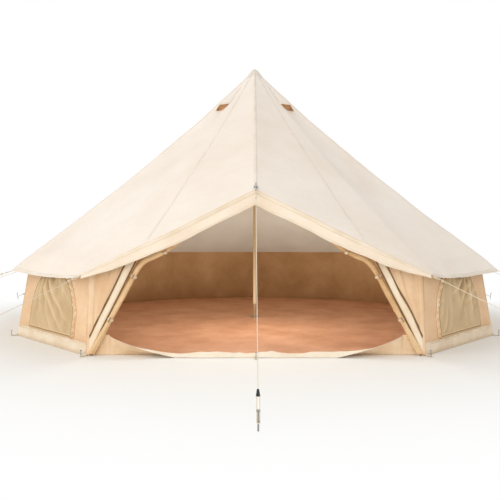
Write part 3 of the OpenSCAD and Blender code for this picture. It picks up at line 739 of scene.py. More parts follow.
wall_seams = piece("wall_seams", [wall_seam(k) for k in range(1, 12)], [wall_band])
skirt_g = np.clip(np.linspace(1, 11, 10 * 44 + 1), 1.002, 10.998)[:, None]
skirt_h = np.linspace(0, 1, 9)[None, :]
skirt_out = SKIRT_OUT + SKIRT_FLARE * skirt_h + np.abs(SKIRT_WAVE * np.sin(skirt_g * 31) * skirt_h)
skirt_outer = skirt_point(skirt_h, skirt_out + SKIRT_T)
skirt = piece("skirt", [sheet(skirt_outer, skirt_point(skirt_h, skirt_out))], [skirt_canvas],
              ["skirt_right", "skirt_left"], sharp=60)
hem_rows = np.linspace(*SKIRT_HEM_ROWS, BAND_POINTS)[None, :]
hem_sides = (skirt_point(hem_rows, out).swapaxes(0, 1) for out in SKIRT_HEM_OUT)
skirt_band = piece("skirt_band", [band(*hem_sides, across(SKIRT_HEM_HALF)[0])], [skirt_hem])

# %% Door zips, facings and doubled corners
ZIPS = ((0.008, 0.004), (0.007, 0.073))  # half width of each, and how far its middle is from the edge
FACING = (0.026, 0.038)
ZIP_LOW, ZIP_OUT, BAND_BACK = 0.03, 0.0075, 0.0002
TOP_GAP, FOOT_GAP = 0.012, 0.008
CORNER_W, CORNER_OUT = 0.060, 0.003


def on_flank(x, z, out, mirror):
    """Point on a flank at x and height z: its place and height are found by repeated substitution."""
    g = np.zeros_like(x)
    for _ in range(25):
        h = 1 - z / mix(RING_TOP[0, 2], RING_TOP[1, 2], g)
        span = mix(RING_TOP[1, 0] - RING_TOP[0, 0], RING_FOOT[1, 0] - RING_FOOT[0, 0], h)
        g = (x - mix(RING_TOP[0, 0], RING_FOOT[0, 0], h)) / span
    g = np.clip(g, 0, 1)
    return wall_point(12 - g if mirror else g, h, out)


def zip_band(mirror, half, inset):
    """Band along the slanted edge of the flank, its middle an inset from the edge.

    Both ends are slanted: each line of the band starts at the flank's corner and ends under the eave."""
    size = np.linalg.norm(ZIP_TOP - ZIP_FOOT)
    way = (ZIP_TOP - ZIP_FOOT) / size
    side = np.cross(way, FRONT)
    eave, post = WALL_TOPS[1] - ZIP_TOP, WALL_TOPS[1] - ZIP_FOOT
    off, lift = across(half)
    beside = off + inset
    top = 1 - TOP_GAP / size + beside * (eave @ way) / (eave @ side) / size
    low = np.maximum(ZIP_LOW, FOOT_GAP / size + beside * (post @ way) / (post @ side) / size)
    t = mix(low[:, None], top[:, None], np.linspace(0, 1, 60)[None, :])[..., None]
    line = mix(ZIP_FOOT, ZIP_TOP, t) + side * beside[:, None, None]
    x, z = line[..., 0], line[..., 2]
    return band(on_flank(x, z, ZIP_OUT + lift[:, None], mirror), on_flank(x, z, BAND_BACK, mirror), off)


def corner_band(mirror):
    """Doubled cloth on the flank beside the front corner, narrowing with the flank towards the foot."""
    h = np.linspace(0.012, 0.985, 54)[None, :]
    width = panel_width(0, h)
    b, lift = across(1.0)
    off = (b[:, None] + 1) / 2 * np.minimum(CORNER_W, 0.8 * width)
    g = 11 + off / width if mirror else 1 - off / width
    return band(wall_point(g, h, CORNER_OUT + lift[:, None]), wall_point(g, h, BAND_BACK), b * CORNER_W / 2)


both = (False, True)
door_zips = piece("door_zips", [zip_band(m, *z) for m in both for z in ZIPS], [door_zip])
facings = piece("door_facings", [zip_band(m, *FACING) for m in both], [facing_band])
corner_bands = piece("corner_bands", [corner_band(m) for m in both], [corner_cloth])

# %% [markdown]
# ## Windows
# Each window is an arch of mesh with a zip round it. The mesh is slack and wrinkles more than the wall. Its
# own map in metres carries the mesh's threads, and the zip is a band that follows the arch. On the side
# where the mesh is drawn back, the wall's edge is gathered.

# %% Windows, their zips and gathered edges
WINDOW_W, WINDOW_SILL, WINDOW_SPRING, WINDOW_TOP = 0.95, 0.135, 0.29, 0.75
WINDOW_HALF, WINDOW_RISE = WINDOW_W / 2, WINDOW_TOP - WINDOW_SPRING
MESH_OUT, MESH_IN, BORDER_IN = 0.0105, 0.0070, 0.0020
CREASE, DRAG, FAN, GATHERS = 0.005, 0.026, 0.044, 0.006  # heights of the mesh's folds
DRAG_LEN, RIPPLE_LEN, EDGE_LEN, EDGE_WAVE = 0.21, 0.058, 0.075, 0.005
HANG_SIDE, HANG_UP = 0.45, 0.03  # where the mesh hangs from: share of the half width, and above the arch
BORDER = (0.016, 0.0, 0.0125, 0.0)  # half width, inset, step out from the wall and ripple
FRILL_HALF, FRILL_INSET, FRILL_OUT, FRILL_RIPPLE = 0.022, 0.030, 0.0060, 0.008


def on_panel(k, x, z, out):
    """Point on wall panel k at x from its middle and height z, moved out by a step."""
    h = 1 - z / mix(RING_TOP[k], RING_TOP[k + 1], 0.5)[2]
    return wall_point(k + 0.5 + x / panel_width(k, h), h, out)


def window(k, hand):
    """Mesh over the arch: x across, and the height from the sill to the arch's line above x.

    It stands out from the wall by the sum of a fan of folds below the spot it hangs from, folds that run
    slantwise, small creases, and gathers under the arch; all of them fade out at the zip."""
    x = WINDOW_HALF * np.sin(np.linspace(-np.pi / 2, np.pi / 2, 101))[:, None]
    t = np.linspace(0, 1, 71)[None, :]
    arch = WINDOW_SPRING + WINDOW_RISE * np.sqrt(np.clip(1 - (x / WINDOW_HALF) ** 2, 0, 1))
    flat = pair(x, mix(WINDOW_SILL, arch, t))
    wide, z = flat[..., 0], flat[..., 1]
    place = np.stack([wide, z, np.full_like(z, k)], -1)
    broad, small = slack(place, BROAD), slack(place * np.array([1, 1, 3.0]), SMALL)
    side, drop = wide * hand + WINDOW_HALF * HANG_SIDE, WINDOW_TOP + HANG_UP - z
    reach = np.hypot(side, drop)
    fan = fold(6.5 * np.arctan2(side, drop) + 0.6 * broad + 0.9)
    fan = fan * ease((reach - 0.05) / 0.2) * ease((0.60 - reach) / 0.38)
    drag = fold(np.pi * (wide * hand * 0.9 + z) / DRAG_LEN + 1.6 * broad) * ease((1 + broad) / 2)
    gathers = np.sin(x * 50 + 1.6 * np.sin(x * 13 + k)) * t ** 3 * (1 - t ** 12)
    loose = (CREASE * (1 + small) + DRAG * drag + FAN * fan) * bow(t) ** 0.6
    loose = loose + GATHERS * (1 + gathers) * t ** 2 * (1 - t ** 12)
    loose = np.maximum(loose * bow((x / WINDOW_HALF + 1) / 2) ** 0.5, 0)
    outer = on_panel(k, wide, z, MESH_OUT + loose)
    return sheet(outer, on_panel(k, wide, z, MESH_IN + loose), flat), outer


def window_outline():
    """The window's outline in metres, anticlockwise: over the arch, down, along the sill and up."""
    a = np.linspace(0, np.pi, 70)
    side = np.linspace(WINDOW_SPRING, WINDOW_SILL, 15)
    sill_x = np.linspace(-WINDOW_HALF, WINDOW_HALF, 50)[1:]
    down, up = np.full(14, -WINDOW_HALF), np.full(14, WINDOW_HALF)
    px = np.concatenate([WINDOW_HALF * np.cos(a), down, sill_x, up])
    arch = WINDOW_SPRING + WINDOW_RISE * np.sin(a)
    return px, np.concatenate([arch, side[1:], np.full(49, WINDOW_SILL), side[-2::-1]])


def window_side(hand):
    """One side of the outline, from the sill up and a good way round the arch."""
    a = np.linspace(0, 1.0, 40)
    px = hand * WINDOW_HALF * np.concatenate([np.ones(20), np.cos(a)])
    straight = np.linspace(WINDOW_SILL, WINDOW_SPRING, 21)[:-1]
    return px, np.concatenate([straight, WINDOW_SPRING + WINDOW_RISE * np.sin(a)])


def window_band(k, path, half, inset, out, ripple):
    """Band along a path on panel k, an inset beside it, with ripples that stand out from the wall."""
    px, pz = path
    dx, dz = np.gradient(px), np.gradient(pz)
    size = np.hypot(dx, dz) + 1e-9
    px = px + EDGE_WAVE * np.sin(pz * 2 * np.pi / EDGE_LEN) * ease((pz - WINDOW_SILL) / 0.1) * np.sign(px)
    off, lift = across(half)
    beside = (off + inset)[:, None]
    x, z = px + beside * dz / size, pz - beside * dx / size
    far = np.cumsum(size)
    wavy = ripple * (1 + np.sin(2 * np.pi * far / RIPPLE_LEN + 1.5 * np.sin(far * 21)))
    wavy = wavy * (1 - (off / half)[:, None] ** 4)
    return band(on_panel(k, x, z, out + lift[:, None] + wavy), on_panel(k, x, z, BORDER_IN), off)


WINDOWS = ((1, "right_front", -1), (4, "right_rear", 1), (10, "left_front", 1), (7, "left_rear", -1))
for k, name, hand in WINDOWS:
    shell, grid = window(k, hand)
    pane = piece(f"window_mesh_{name}", [shell], [window_mesh], [f"window_{name}"], sharp=60)
    border = piece(f"window_zip_{name}", [window_band(k, window_outline(), *BORDER)], [window_coil])
    edge = window_band(k, window_side(hand), FRILL_HALF, hand * FRILL_INSET, FRILL_OUT, FRILL_RIPPLE)
    frill = piece(f"window_frill_{name}", [edge], [frill_cloth])

# %% [markdown]
# ## The door
# A valance hangs under the door's hem. Both door leaves are rolled up: a leaf is a thin sheet wound into a
# spiral along its zip and on under the hem, and short ties with wooden toggles hold the rolls. The sill
# strip stands in the corners and is trodden flat in the middle.

# %% Valance
VALANCE_MID, VALANCE_END, VALANCE_REACH = 0.135, 0.025, 0.985
VALANCE_OUT, VALANCE_IN, VALANCE_GAP, VALANCE_LEAN = 0.0030, 0.0005, 0.0008, 0.012
VALANCE_WAVE, VALANCE_SCALLOP = 0.006, 0.003
BINDING_OUT, BINDING_IN, BINDING_HALF = 0.0036, 0.0020, 0.014


def valance_point(u, h, out):
    """Hem point at share u from the peak (minus to the left), h down the band, with a wave at its edge."""
    u, h, out = np.broadcast_arrays(u, h, out)
    a = np.abs(u)
    p = mix(PEAK, TIPS[1], a[..., None]) * sided(u)
    drop = mix(VALANCE_MID, VALANCE_END, a ** 4)
    wave = VALANCE_WAVE * np.sin(u * 23 + 0.8 * np.sin(u * 9)) * h ** 1.5
    scallop = VALANCE_SCALLOP * np.sin(a * np.pi * 6) * h ** 2
    y = p[..., 1] - VALANCE_GAP - out + np.minimum(wave, 0) - VALANCE_LEAN * h * a
    z = p[..., 2] + cloth_lift(p) + ROOF_T - (drop + ROOF_T + scallop) * h
    return np.stack([p[..., 0], y, z], -1)


def valance_band(h0, h1):
    """Stitched band along the valance between two heights."""
    h = np.linspace(h0, h1, BAND_POINTS)[:, None]
    u = np.linspace(-VALANCE_REACH, VALANCE_REACH, 240)[None, :]
    off, lift = across(BINDING_HALF)
    return band(valance_point(u, h, BINDING_OUT + lift[:, None]), valance_point(u, h, BINDING_IN), off)


valance_u = np.linspace(-VALANCE_REACH, VALANCE_REACH, 181)[:, None]
valance_h = np.linspace(0, 1, 17)[None, :]
valance_outer = valance_point(valance_u, valance_h, VALANCE_OUT)
valance_inner = valance_point(valance_u, valance_h, VALANCE_IN)
valance = piece("valance", [sheet(valance_outer, valance_inner)], [valance_canvas, roof_inside_painted_shade],
                ["valance_right", "valance_left"], sharp=60)
bindings = [valance_band(0.0, 0.3), valance_band(0.84, 0.995)]
valance_bands = piece("valance_bands", bindings, [valance_edge])

# %% Rolled door leaves
ROLL_R, ROLL_SHARE, ROLL_DROP, ROLL_FOOT = 0.030, 0.36, 2.1, 0.034
ROLL_LEAVE, ROLL_SWAG, ROLL_TURNS, ROLL_CLOTH = 0.17, 0.060, 2.5, 0.0022
TIES = (0.22, 0.50, 0.74, 0.96)
TIE_REACH, TIE_GRIP = 0.06, 0.16
LEVEL = np.array([0.02, 1.0, 0.05])  # close to +Y, and never along a path


def frames(path):
    """Tangent and two cross directions along a path, the first kept as level as the path allows."""
    way = unit(np.gradient(path, axis=0))
    side = unit(np.cross(way, LEVEL))
    return way, side, np.cross(side, way)


def sweep(path, r, angle):
    """Carries a section round a path: radius r at each angle (rows) and path point (columns)."""
    _, side, up = frames(path)
    return path + (r * np.cos(angle))[..., None] * side + (r * np.sin(angle))[..., None] * up


def roll_hem(u):
    """Point under the hem at share u, a roll's radius and a little below the roof."""
    down = unit(np.cross(TIPS[1] - APEX, PEAK - APEX))
    e = mix(PEAK, TIPS[1], u)
    return mix(APEX, e, door_cut(e)) + down * ROLL_R * ROLL_DROP


def roll_path():
    """Up the zip and on under the hem in a swag: the chord to the last tie less a parabola, with the bend
    between them rounded by a curve through three points."""
    zip_way = unit(ZIP_TOP - WALL_FEET[1])
    low = WALL_FEET[1] + zip_way * (ROLL_FOOT / zip_way[2])
    out = unit(np.array([-zip_way[2], 0, zip_way[0]]))
    start = low + out * (ROLL_R + WALL_T) - FRONT * WALL_T / 2
    knee = mix(roll_hem(DOOR_SEAM_U), start, ROLL_LEAVE)
    t = np.linspace(0, 1, 60)[:, None]
    swag = mix(knee, roll_hem(ROLL_SHARE), t) - UP * ROLL_SWAG * bow(t)
    before, after = mix(knee, start, 0.12), swag[9]
    r = np.linspace(0, 1, 14)[:, None]
    curve = (1 - r) ** 2 * before + 2 * r * (1 - r) * knee + r ** 2 * after
    return np.concatenate([mix(start, before, np.linspace(0, 1, 46)[:-1, None]), curve, swag[10:]])


def rolled_leaf():
    """A sheet wound in turns: radius grows with the angle, and gathers tighten it at the ties.

    Lumps, slanting creases and short gathers at the ties change the radius a little."""
    s = roll_run[None, :]
    a = np.linspace(0, 2 * np.pi * ROLL_TURNS, 110)[:, None]
    grow = mix(0.35, 0.98, a / a[-1])
    near_tie = np.exp(-((roll_run[:, None] - np.array(TIES) * roll_run[-1]) / TIE_REACH) ** 2).sum(-1)
    creases = 1 - np.abs(np.sin(a - 17 * s + 1.4 * np.sin(7 * s)))
    lumps = 0.97 + 0.05 * np.sin(3 * a + 14 * s) * np.sin(9 * s + 1.0)
    lumps = lumps + 0.09 * creases ** 2 * (0.5 + 0.5 * np.sin(5 * s)) + 0.05 * np.sin(7 * a) * near_tie
    twist = a + 1.6 + 0.5 * np.sin(2.2 * s)
    outer, inner = (sweep(roll, (ROLL_R * grow * lumps - step) * (1 - TIE_GRIP * near_tie), twist)
                    for step in (0.0, ROLL_CLOTH))
    return sheet(outer, inner), outer


roll = roll_path()
roll_run = run(roll)
leaf_shell, leaf_grid = rolled_leaf()
for side, shell in zip(SIDES, (leaf_shell, mirrored(leaf_shell))):
    leaf = piece(f"door_leaf_{side}", [shell], [leaf_canvas], [f"door_roll_{side}"],
                 sharp=70)

# %% Ties and toggles
TIE_R, TIE_IN, TIE_HALF, TIE_T = 0.0268, 0.0255, 0.011, 0.0025
TOGGLE_OUT, TOGGLE_R, TOGGLE_HALF, TOGGLE_WAIST = 0.036, 0.0075, 0.024, 0.28
HAIR = 0.0001


def spokes(count, first, second):
    """Directions round a circle that two directions span."""
    a = np.linspace(0, 2 * np.pi, count, endpoint=False)[:, None]
    return np.cos(a) * first + np.sin(a) * second


def turned(at, around, r, axis, rise, core):
    """Turned solid: radius r at each rise along the axis, hollow down to a core."""
    def skin(radius):
        return at + around[:, None] * np.broadcast_to(radius, rise.shape)[:, None] + axis * rise[:, None]

    return sheet(skin(r), skin(core), wrap=True)


def tie_and_toggle(t):
    """Webbing once round the roll at share t of its length, and a turned toggle in front of it."""
    place = t * roll_run[-1]
    at = np.array([np.interp(place, roll_run, roll[:, i]) for i in range(3)])
    i = min(int(np.searchsorted(roll_run, place)), len(roll) - 1)
    way, side, up = (f[i] for f in frames(roll))
    b = np.linspace(-1, 1, 9)
    tie = turned(at, spokes(40, side, up), TIE_R + TIE_T * (1 - b ** 4), way, b * TIE_HALF, TIE_IN)
    b = np.linspace(-1, 1, 25)
    r = TOGGLE_R * np.sqrt(np.clip(1 - b ** 8, 0, 1)) * (1 - TOGGLE_WAIST * np.exp(-(b / 0.16) ** 2))
    around = spokes(20, np.cross(way, FRONT), FRONT)
    return tie, turned(at + FRONT * TOGGLE_OUT, around, r, way, b * TOGGLE_HALF, 4 * HAIR)


ties, toggles = zip(*(tie_and_toggle(t) for t in TIES))
piece("leaf_ties", [*ties, *map(mirrored, ties)], [webbing])
piece("leaf_toggles", [*toggles, *map(mirrored, toggles)], [beech])

# %% Sill strip
SILL_MID, SILL_END, SILL_T, SILL_UNDER = 0.135, 0.175, 0.003, 0.0005
SILL_X = 1.47
SILL_UP_X, SILL_FLAT_X = 0.89 * SILL_X, 0.48 * SILL_X
SILL_Y = WALL_FEET[1, 1] + WALL_T / 2 + ROLL_R + 0.008
SILL_WAVE, SILL_RIPPLE, SILL_CREASE = 0.006, 0.004, 0.016


def sill_point(x, h, t):
    """Strip hinged along its back edge: its free edge rises in a straight line from lying to standing.

    Waves and ripples crumple it, and where it lies a curled free edge and slanting creases lift it."""
    share = np.clip((np.abs(x) - SILL_FLAT_X) / (SILL_UP_X - SILL_FLAT_X), 0, 1)
    a = np.arcsin(share)
    w = mix(SILL_MID, SILL_END, share) * h
    crumple = SILL_WAVE * np.sin(x * 17 + 2 * np.sin(x * 5)) + SILL_RIPPLE * np.sin(x * 41)
    crumple = crumple * bow(h * 0.5) * (1 - 0.4 * share)
    curl = 0.032 + 0.008 * np.sin(x * 11 + np.sin(x * 4))
    curl = curl * np.sin(np.pi * np.clip((h - 0.4) / 0.6, 0, 1)) * (1 - share)
    creases = SILL_CREASE * fold(x * 6.5 + 2.4 * h + 1.5 * np.sin(x * 3.1)) ** 3
    creases = creases * bow(h * 0.9 + 0.05) * (1 - share)
    lift = np.abs(crumple) * (1 - h) + curl + np.maximum(creases, 0) + t
    z = w * np.sin(a) + lift * np.cos(a)
    y = SILL_Y - w * np.cos(a) + (crumple * 0.8 + t) * np.sin(a) + DOOR_LEAN * z
    return np.stack(np.broadcast_arrays(x, y, z), -1)


sill_x = np.linspace(-SILL_X, SILL_X, 241)[:, None]
sill_h = np.linspace(1, 0, 25)[None, :]
sill_outer = sill_point(sill_x, sill_h, SILL_T)
# The under face, which faces out where the strip stands, is painted tan as shade.
sill = piece("sill_strip", [sheet(sill_outer, sill_point(sill_x, sill_h, SILL_UNDER))],
             [sill_canvas, sill_outside_painted_shade], ["door_sill"], sharp=60)

# %% [markdown]
# ## The floor
# The groundsheet is a coated weave cut to the wall's plan with a straight front. It is laid loose, so it
# ruckles here and there. It is a fan of rings: the plan's radius in each direction times a share.

# %% Groundsheet
FLOOR_EDGE = BASE_R - 0.006
FLOOR_FRONT = -SILL_Y - SILL_T - 0.001
FLOOR_TOP, FLOOR_UNDER, FLOOR_STILL = 0.004, 0.0005, 0.06
RUCK_BROAD, RUCK_SMALL, RUCK_MOST = 0.004, 0.005, 0.015
AHEAD = 0.3  # cosine above which a direction meets the straight front


def floor_radius(a):
    """Radius of a regular twelve-sided plan in direction a, cut off by the straight front."""
    inside = FLOOR_EDGE * np.cos(TURN / 2) / np.cos((a % TURN) - TURN / 2)
    ahead = np.where(np.cos(a) > AHEAD, FLOOR_FRONT / np.maximum(np.cos(a), AHEAD), np.inf)
    return np.minimum(inside, ahead)


floor_a = np.linspace(0, 2 * np.pi, 240, endpoint=False)[:, None]
floor_r = np.linspace(0, 1, 80)[None, :]
flat_floor = polar(floor_radius(floor_a) * floor_r, floor_a)
ruck = slack(flat_floor, BROAD) * RUCK_BROAD + np.maximum(slack(flat_floor, SMALL), 0.4) * RUCK_SMALL
ruck = np.clip(ruck - RUCK_SMALL * 0.4, 0, RUCK_MOST)
ruck = ruck * ease((1 - floor_r) / FLOOR_STILL) * ease((floor_r - FLOOR_STILL) / FLOOR_STILL)
floor_outer, floor_inner = (flat_floor + UP * (up + ruck)[..., None] for up in (FLOOR_TOP, FLOOR_UNDER))
groundsheet = piece("groundsheet_cloth", [sheet(floor_outer, floor_inner, wrap=True, pole=True)],
                    [floor_cloth], ["groundsheet"], sharp=80)

# %% [markdown]
# ## Ropes, tabs and pegs
# Three-strand rope is a round section with three lobes that turn as it runs along. Each guy leaves a tab at
# the eave, passes a slider, and loops round its stake and back. The tabs and peg loops are doubled webbing.

# %% Guy ropes
ROPE_R, STAKE_R, DOOR_STAKE_R, HOOK_H = 0.003, 5.10, 4.524, 0.050
STAKE_D, SLIDER_BACK, SLIDER_LEN, TAB_LEN, TAB_W = 0.010, 0.165, 0.045, 0.085, 0.046
ROPE_LAY, ROPE_SAG, ROPE_IN, ROPE_CLEAR = 0.045, 0.012, 0.004, 0.0003
KNOT_TURNS, KNOT_LEN, KNOT_R, KNOT_ROPE, KNOT_GAP = 4, 0.026, 0.0062, 0.0028, 0.006
TAB_Z, TAB_END = TIP_H + ROOF_T / 2, TAB_LEN * 0.66
RING_R, RING_GAP = 0.023, 0.0036
RING_OUT = -PEAK[1] + RING_GAP + RING_R


def rope_shell(path, radius=ROPE_R, sides=10):
    """Rope along a path: its radius is least between the strands, which go round once per lay."""
    length = run(path)[None, :]
    angle = np.linspace(0, 2 * np.pi, sides, endpoint=False)[:, None]
    lobe = np.abs(np.cos(1.5 * (angle - 2 * np.pi * length / ROPE_LAY)))
    ends = np.minimum(length, length[0, -1] - length)
    r = radius * (0.80 + 0.20 * lobe) * np.where(ends == 0, 0.05, 1.0)
    return sheet(sweep(path, r, angle), sweep(path, r * 0.03, angle), wrap=True)


def guy_line(a, r0, z0, r1):
    """Start, direction, sideways direction and length of the line from an eave point to a stake's hook."""
    p0, p1 = polar(r0, a, z0), polar(r1, a, HOOK_H)
    return p0, unit(p1 - p0), polar(1.0, a + np.pi / 2), np.linalg.norm(p1 - p0)


def guy(line, start):
    """Straight run with a slight sag from the eave to the slider, and the doubled end round the stake."""
    p0, way, side, size = line
    t = np.linspace(0, 1, 150)[:, None]
    straight = p0 + way * mix(start, size - SLIDER_BACK - SLIDER_LEN + ROPE_IN, t) - UP * ROPE_SAG * bow(t)
    y = STAKE_D / 2 + ROPE_R + ROPE_CLEAR
    back = np.linspace(size - SLIDER_BACK - ROPE_IN, size, 24)
    turn = np.linspace(0, np.pi, 12)[1:-1]
    reach = np.concatenate([back, size + y * np.sin(turn), back[::-1]])
    off = np.concatenate([np.full(24, y), y * np.cos(turn), np.full(24, -y)])
    return [rope_shell(straight), rope_shell(p0 + way * reach[:, None] + side * off[:, None])]


def whipping(line, start):
    """Knot by which the rope is tied on: a few close turns round its own end."""
    p0, way, side, _ = line
    t = np.linspace(0, 1, 18 * KNOT_TURNS)[:, None]
    angle = 2 * np.pi * KNOT_TURNS * t
    coil = (side * np.cos(angle) + np.cross(way, side) * np.sin(angle)) * KNOT_R
    return rope_shell(p0 + way * (start + KNOT_LEN * t) + coil, KNOT_ROPE, 8)


corners_right = [(TURN * k, TIP_R if k > 1 else FRONT_TIP_R) for k in range(1, 7)]
corners_left = [(-a, r) for a, r in corners_right[:5]]
lines_right, lines_left = ([guy_line(a, r, TAB_Z, STAKE_R) for a, r in corners]
                           for corners in (corners_right, corners_left))
for side, lines in zip(SIDES, (lines_right, lines_left)):
    shells = [s for line in lines for s in (*guy(line, TAB_END), whipping(line, TAB_LEN + KNOT_GAP))]
    piece(f"guy_rope_{side}", shells, [rope_cotton], [f"guy_ropes_{side}"], sharp=70)

# %% The door's rope, with its knots and its tail
DOOR_START, DOOR_KNOTS = 0.024, (0.035, 0.125)
TAIL_FROM, TAIL_LEN, TAIL_OFF, TAIL_R = 0.010, 0.052, np.array([0.008, 0, 0.002]), 0.0032
door_line = guy_line(0.0, RING_OUT, PEAK[2], DOOR_STAKE_R)
shells = guy(door_line, DOOR_START) + [whipping(door_line, d) for d in DOOR_KNOTS]
ring_at, stake_at = polar(RING_OUT, 0.0, PEAK[2]), polar(DOOR_STAKE_R, 0.0, HOOK_H)
tail_t = np.linspace(0, 1, 40)[:, None]
tail = mix(ring_at, stake_at, TAIL_FROM + TAIL_LEN * tail_t) + TAIL_OFF * bow(tail_t) ** 0.5
piece("door_guy_rope", shells + [rope_shell(tail, TAIL_R)], [rope_cotton], ["door_rope"], sharp=70)

# %% Eave tabs with eyelets
TAB_T, TAB_SEWN, TAB_NARROW, TAB_EYE = 0.005, 0.015, 0.62, 0.62
TAB_RING, RIDGE_RING = (0.0095, 0.0032, 0.0042, 12), (0.015, 0.005, 0.004, 13)


def eyelet(at, around, up, radius, half_w, half_h, steps):
    """Rounded ring of that radius, with half its width and height, about a core of a hair's height."""
    wire = np.linspace(0, 2 * np.pi, steps)
    def skin(w, h):
        r, rise = radius + w * np.cos(wire), h * np.sin(wire)
        return at + around[:, None] * r[:, None] + up * rise[:, None]

    return sheet(skin(half_w, half_h), skin(0.0, HAIR), wrap=True)


def tongue(t, start, share, count, half_w, length):
    """Half width along a strip with a rounded end, places across, and the strip's map in metres."""
    half = half_w * np.sqrt(np.clip(1 - np.clip((t - start) / share, 0, 1) ** 3, 0, 1))
    b = np.linspace(-1, 1, count)[:, None]
    return b, b * half, pair(b * half, length * t[None, :])


def tab(line):
    """Doubled webbing from the hem: width eases from narrow to full and rounds off at the eye."""
    p0, way, side, _ = line
    up = np.cross(side, way)
    up = up * np.sign(up[2])
    t = np.linspace(0, 1, 24)
    full = TAB_W / 2 * mix(TAB_NARROW, 1.0, ease(t / 0.4))
    b, off, uv = tongue(t, 0.55, 0.47, 13, full, TAB_LEN)
    flat = p0 + way * (TAB_LEN * t - TAB_SEWN)[:, None] + side * off[..., None]
    thick = up * (TAB_T / 2 * (1 - 0.35 * np.abs(b) ** 5))[..., None]
    ring = eyelet(p0 + way * TAB_LEN * TAB_EYE, spokes(28, way, side), up, *TAB_RING)
    return sheet(flat + thick, flat - thick, uv), ring, flat


tabs, eyes, tab_grids = zip(*map(tab, lines_right + lines_left))
eave_tabs = piece("eave_tab_webbing", tabs, [tab_band], ["eave_tabs"])
eyelets = piece("eave_eyelets", eyes, [galvanised])

# %% Eyelet and pin on the door's ridge
EYE_BACK, EYE_UP, PIN_DOWN, PIN_LEN, PIN_R = 0.035, 0.010, 0.010, 0.055, 0.0065
ridge = unit(PEAK - APEX)
ridge_up = np.array([0, ridge[2], -ridge[1]])
right = np.array([1.0, 0, 0])
eye_at = PEAK - ridge * EYE_BACK + ridge_up * EYE_UP
pin_t = np.linspace(0, 1, 14)
pin_r = PIN_R * np.sqrt(np.clip(1 - pin_t ** 6, 0, 1)) + 2 * HAIR
pin = turned(eye_at - UP * PIN_DOWN, spokes(36, right, -FRONT), pin_r, UP, PIN_LEN * pin_t, HAIR)
ring = eyelet(eye_at, spokes(36, ridge, right), ridge_up, *RIDGE_RING)
piece("ridge_eyelet", [ring, pin], [galvanised])

# %% Peg loops
LOOP_LEN, LOOP_W, LOOP_T = 0.070, 0.030, 0.0022
LOOP_UP, LOOP_RISE, LOOP_FADE, LOOP_GAP = 0.0025, 0.012, 0.15, 0.004


def peg_loop(a, r):
    """Flat loop of webbing on the ground: it rises a little at the wall and rounds off past the peg."""
    t = np.linspace(0, 1, 20)
    _, off, uv = tongue(t, 0.7, 0.32, 9, LOOP_W / 2, LOOP_LEN)
    flat = polar(1.0, a) * (r + LOOP_LEN * t)[:, None] + polar(1.0, a + np.pi / 2) * off[..., None]
    top = flat + UP * (LOOP_UP + LOOP_RISE * np.exp(-t / LOOP_FADE))[:, None]
    return sheet(top, top - UP * LOOP_T, uv), flat


loops = [peg_loop(TURN * k, BASE_R + LOOP_GAP) for k in range(1, 12)]
loops.append(peg_loop(0.0, -SILL_Y + SILL_MID - LOOP_GAP))
peg_loops = piece("peg_loop_webbing", [s for s, _ in loops], [tab_band], ["peg_loops"])

# %% [markdown]
# ## Metal and nylon
# Pole, foot plate, stakes, pegs, ring and sliders have the right shape as solids. They keep it and get
# their finishes: paint on the pole, zinc on the steel, moulded nylon on the sliders.

# %% Finishes of the hard parts
for name, finish in (("pole_lower", pole_paint), ("pole_upper", pole_paint), ("pole_foot", galvanised),
                     ("guy_stakes", galvanised), ("ground_pegs", galvanised), ("door_ring", galvanised),
                     ("guy_sliders", nylon)):
    node_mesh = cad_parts[name].data
    node_mesh.materials.clear()
    node_mesh.materials.append(finish)
print("hard parts finished")

# %% [markdown]
# ## Light, floor and camera
# The photo was taken from in front of the door at about chest height. A broad lamp stands high on the left
# and another in front, low on the left. Soft lamps inside stand for the daylight that canvas lets through.
# The floor is pale and fades to white in the distance, and the sky lights evenly and looks white.

# %% Floor and world
FLOOR_REACH, FLOOR_DOWN = 80.0, -0.002
FADE_FROM, FADE_TO = 3.0, 5.2
SKY, SKY_POWER = (1.0, 0.988, 0.968, 1.0), 0.83
WHITE = (1.0, 1.0, 1.0, 1.0)
floor_mesh = bpy.data.meshes.new("pale_floor")
square = [(x * FLOOR_REACH, y * FLOOR_REACH, FLOOR_DOWN) for x, y in ((-1, -1), (1, -1), (1, 1), (-1, 1))]
floor_mesh.from_pydata(square, [], [(0, 1, 2, 3)])
ground = bpy.data.objects.new("pale_floor", floor_mesh)
bpy.context.scene.collection.objects.link(ground)
# Pale matt board, which turns to plain white away from the tent.
board = Finish("pale_studio_floor")
board.feed(board.shader, {"Base Color": linear("#f1f0ed"), "Roughness": 0.9})
distance = board.add("VectorMath", {0: board.at}, out="Value", operation="LENGTH")
far = board.remap(distance, FADE_FROM, FADE_TO, 0.0, 1.0, interpolation_type="SMOOTHSTEP")
fade = board.math("MULTIPLY", far, board.add("LightPath", out="Is Camera Ray"))
glow = board.add("Emission", {"Color": WHITE, "Strength": 1.0})
board.feed(board.end, {0: board.add("MixShader", {0: fade, 1: board.shader.outputs[0], 2: glow})})
floor_mesh.materials.append(board.material)

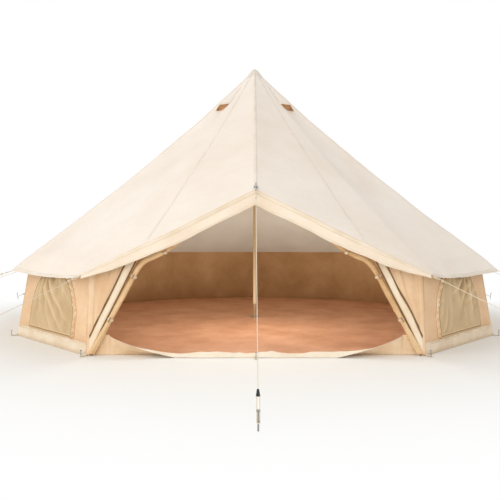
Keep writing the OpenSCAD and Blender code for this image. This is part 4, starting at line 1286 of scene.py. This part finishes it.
world = bpy.data.worlds.new("studio")
bpy.context.scene.world = world
w = Nodes(world)
rays = [w.add("LightPath", out=f"Is {ray} Ray") for ray in ("Camera", "Glossy", "Transmission")]
seen = w.math("MAXIMUM", w.math("MAXIMUM", *rays[:2]), rays[2])
sky = w.add("Background", {"Color": SKY, "Strength": SKY_POWER})
white = w.add("Background", {"Color": WHITE, "Strength": 1.0})
w.add("OutputWorld", {0: w.add("MixShader", {0: seen, 1: sky, 2: white})})
print("floor and world made")

# %% Lamps


def lamp(name, place, target, size, power, tint):
    """Square area lamp at place that looks at target."""
    data = bpy.data.lights.new(name, "AREA")
    data.size, data.energy, data.color = size, power, tint
    obj = bpy.data.objects.new(name, data)
    obj.location = place
    obj.visible_camera = False
    way = np.array(target, float) - np.array(place, float)
    tilt = math.acos(-way[2] / np.linalg.norm(way))
    obj.rotation_euler = (tilt, 0, math.atan2(way[1], way[0]) - math.pi / 2)
    bpy.context.scene.collection.objects.link(obj)
    print(f"{name}: {power} W")


lamp("key", (-9, -6, 9), (0, 0, 1.2), 7.0, 190, (1.0, 0.98, 0.95))
lamp("front", (-4.5, -12.5, 2.6), (0, 0, 0.8), 7.0, 350, (1.0, 0.98, 0.95))
lamp("daylight_inside", (0, 0.3, 0.15), (0, 0.6, 3), 3.4, 47, (1.0, 1.0, 0.96))
lamp("daylight_on_floor", (0, -1.2, 1.4), (0, -1.9, 0), 1.0, 20, (1.0, 0.97, 0.92))

# %% Camera
IMAGE, FOCAL_PX, SENSOR = 500, 523.0, 36.0
SHIFT_PX, STAND = (-2.5, -1.5), (-0.03, -7.224, 0.947)
eye = bpy.data.cameras.new("from_the_lawn")
eye.sensor_width = SENSOR
eye.lens = FOCAL_PX / IMAGE * SENSOR
eye.shift_x, eye.shift_y = (px / IMAGE for px in SHIFT_PX)
camera = bpy.data.objects.new("from_the_lawn", eye)
camera.location = STAND
camera.rotation_euler = (math.pi / 2, 0, 0)
bpy.context.scene.collection.objects.link(camera)
bpy.context.scene.camera = camera
bpy.context.scene.view_settings.view_transform = "Standard"
print("camera at", STAND)
